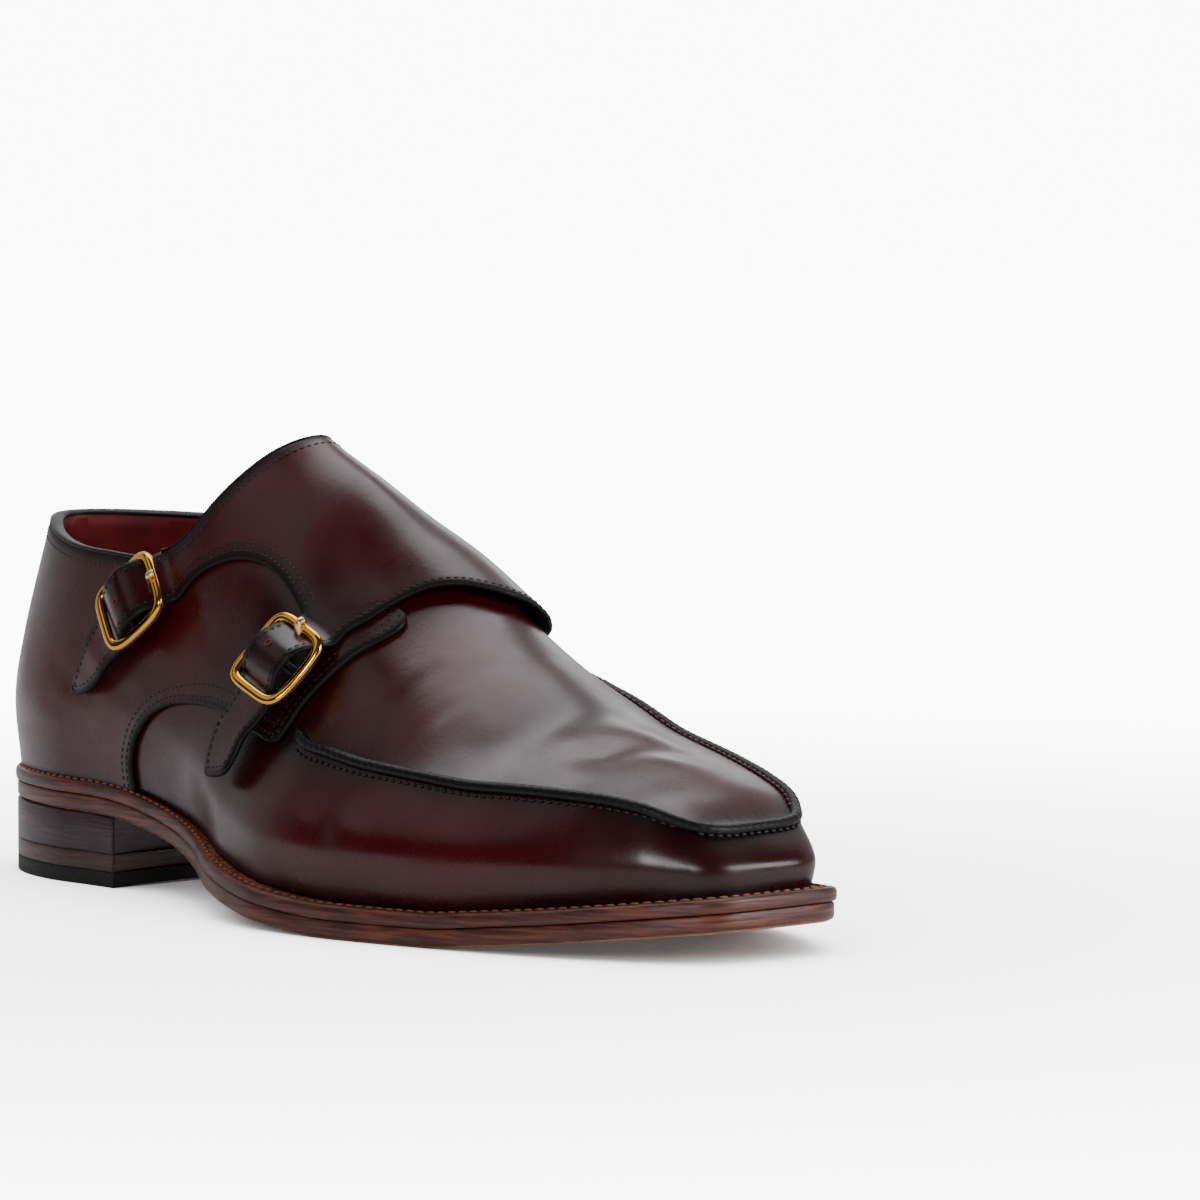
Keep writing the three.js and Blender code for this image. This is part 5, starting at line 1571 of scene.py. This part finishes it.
# Welt: a strip of leather round the shoe that the upper is stitched to, its edge rounded and waxed,
# its top rough beside the upper with a row of coarse waxed stitches.
welt_brown = edge_leather("waxed_welt_edge", "7c3f28", "3b1c15")
welt_rough, tree = new_material("raw_welt_top")
welt_at = add(tree, "ShaderNodeTexCoord").outputs["Object"]
waxed = add(tree, "ShaderNodeTexNoise", {"Vector": welt_at, "Scale": 1000 / 1.6, "Detail": 4})
waxed = add(tree, "ShaderNodeMapRange", {0: waxed, 1: 0.35, 2: 0.7}, **SMOOTH)
rough_colour = {"Factor": waxed, "A": hexcolor("a04f22"), "B": hexcolor("3a1a12")}
rough_colour = add(tree, "ShaderNodeMix", rough_colour, **RGBA)
welt_grain = add(tree, "ShaderNodeTexNoise", {"Vector": welt_at, "Scale": 1000 / 0.8, "Detail": 3})
finish_material(tree, {"Base Color": rough_colour, "Roughness": 0.7}, welt_grain, 0.0003)
welt = layered(
    "welt_leather",
    [
        (sole_outline(WELT_EDGE + WELT_SEAT), lambda x: underside(x) + OUTSOLE + 0.15),
        (sole_outline(0.55), lambda x: underside(x) + OUTSOLE + 0.15),
        (sole_outline(0.15), lambda x: underside(x) + OUTSOLE + 0.5),
        (sole_outline(0.0), lambda x: underside(x) + OUTSOLE + 1.2),
        (sole_outline(0.0), lambda x: welt_top(x) - 1.2),
        (sole_outline(0.35), lambda x: welt_top(x) - 0.4),
        (sole_outline(1.0), lambda x: welt_top(x)),
        (sole_outline(2.2), lambda x: welt_top(x) - 0.1),
        (sole_outline(WELT_EDGE + WELT_SEAT), lambda x: welt_top(x) - 0.1),
    ],
    [welt_brown, welt_rough],
    [0, 0, 0, 0, 0, 0, 1, 1],
    cap=False,
)
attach(welt, "root")
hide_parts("welt")
tan_thread, tree = new_material("waxed_tan_thread")
finish_material(tree, {"Base Color": hexcolor("9a5a34"), "Roughness": 0.5})
feather_loop = sole_outline(0.0, inside=True)
seam_loop = feather_loop * 0.45 + sole_outline(0.0) * 0.55
seam_loop = np.concatenate([seam_loop, seam_loop[:1]])
seam_points = np.column_stack([seam_loop, welt_top(seam_loop[:, 0]) + 0.15])
seam_rows = [(seam_points, np.tile([0.0, 0, 1], (len(seam_points), 1)))]
welt_stitches = stitch_row("welt_stitches", seam_rows, 3.3, (2.7, 0.95, 0.7), tan_thread)


# Insole with its red leather sock, flat inside the upper, on the filling between welt and outsole.
insole_edge = sole_outline(LINING_WALL + 0.6, inside=True)
filling_edge = sole_outline(WELT_EDGE + WELT_SEAT + 0.3)
insole = layered(
    "insole_sock",
    [
        (filling_edge, lambda x: underside(x) + OUTSOLE + 0.4),
        (filling_edge, lambda x: welt_top(x) + 0.4),
        (insole_edge, lambda x: welt_top(x) + 0.4),
        (insole_edge, lambda x: welt_top(x) + 3.0),
        (sole_outline(LINING_WALL + 1.0, inside=True), lambda x: welt_top(x) + 3.4),
    ],
    [lining],
)
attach(insole, "root")
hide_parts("insole")


# Heel: a stack of leather lifts, a paler lift and a rubber top piece, cut with a hollow breast.
heel_purple = edge_leather("waxed_heel_stack", "45222f", "2a121c")
heel_brown = edge_leather("waxed_heel_lift", "5c3a2c", "38211a")
heel_rubber, tree = new_material("black_rubber")
finish_material(tree, {"Base Color": hexcolor("17130f"), "Roughness": 0.6})
TOP_PIECE, LIFT = 4.4, 5.0


def flat_at(z):
    return lambda x: np.full_like(x, z)


heel_layers = (
    ("heel_top_piece", heel_rubber, "top_piece", flat_at(0), flat_at(TOP_PIECE)),
    ("heel_lift", heel_brown, "sole_leather", flat_at(TOP_PIECE), flat_at(TOP_PIECE + LIFT)),
    ("heel_block", heel_purple, "heel_stack", flat_at(TOP_PIECE + LIFT), lambda x: underside(x) - 0.1),
)
for name, look, material_slot, bottom, top in heel_layers:
    levels = [
        (sole_outline(0.75, True), bottom),
        (sole_outline(0.5, True), lambda x, low=bottom: low(x) + 0.3),
        (sole_outline(0.5, True), lambda x, high=top: high(x) - 0.3),
        (sole_outline(0.75, True), top),
    ]
    piece = layered(name + "_stack", levels, [look])
    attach(piece, "root")
    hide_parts(name)


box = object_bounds()
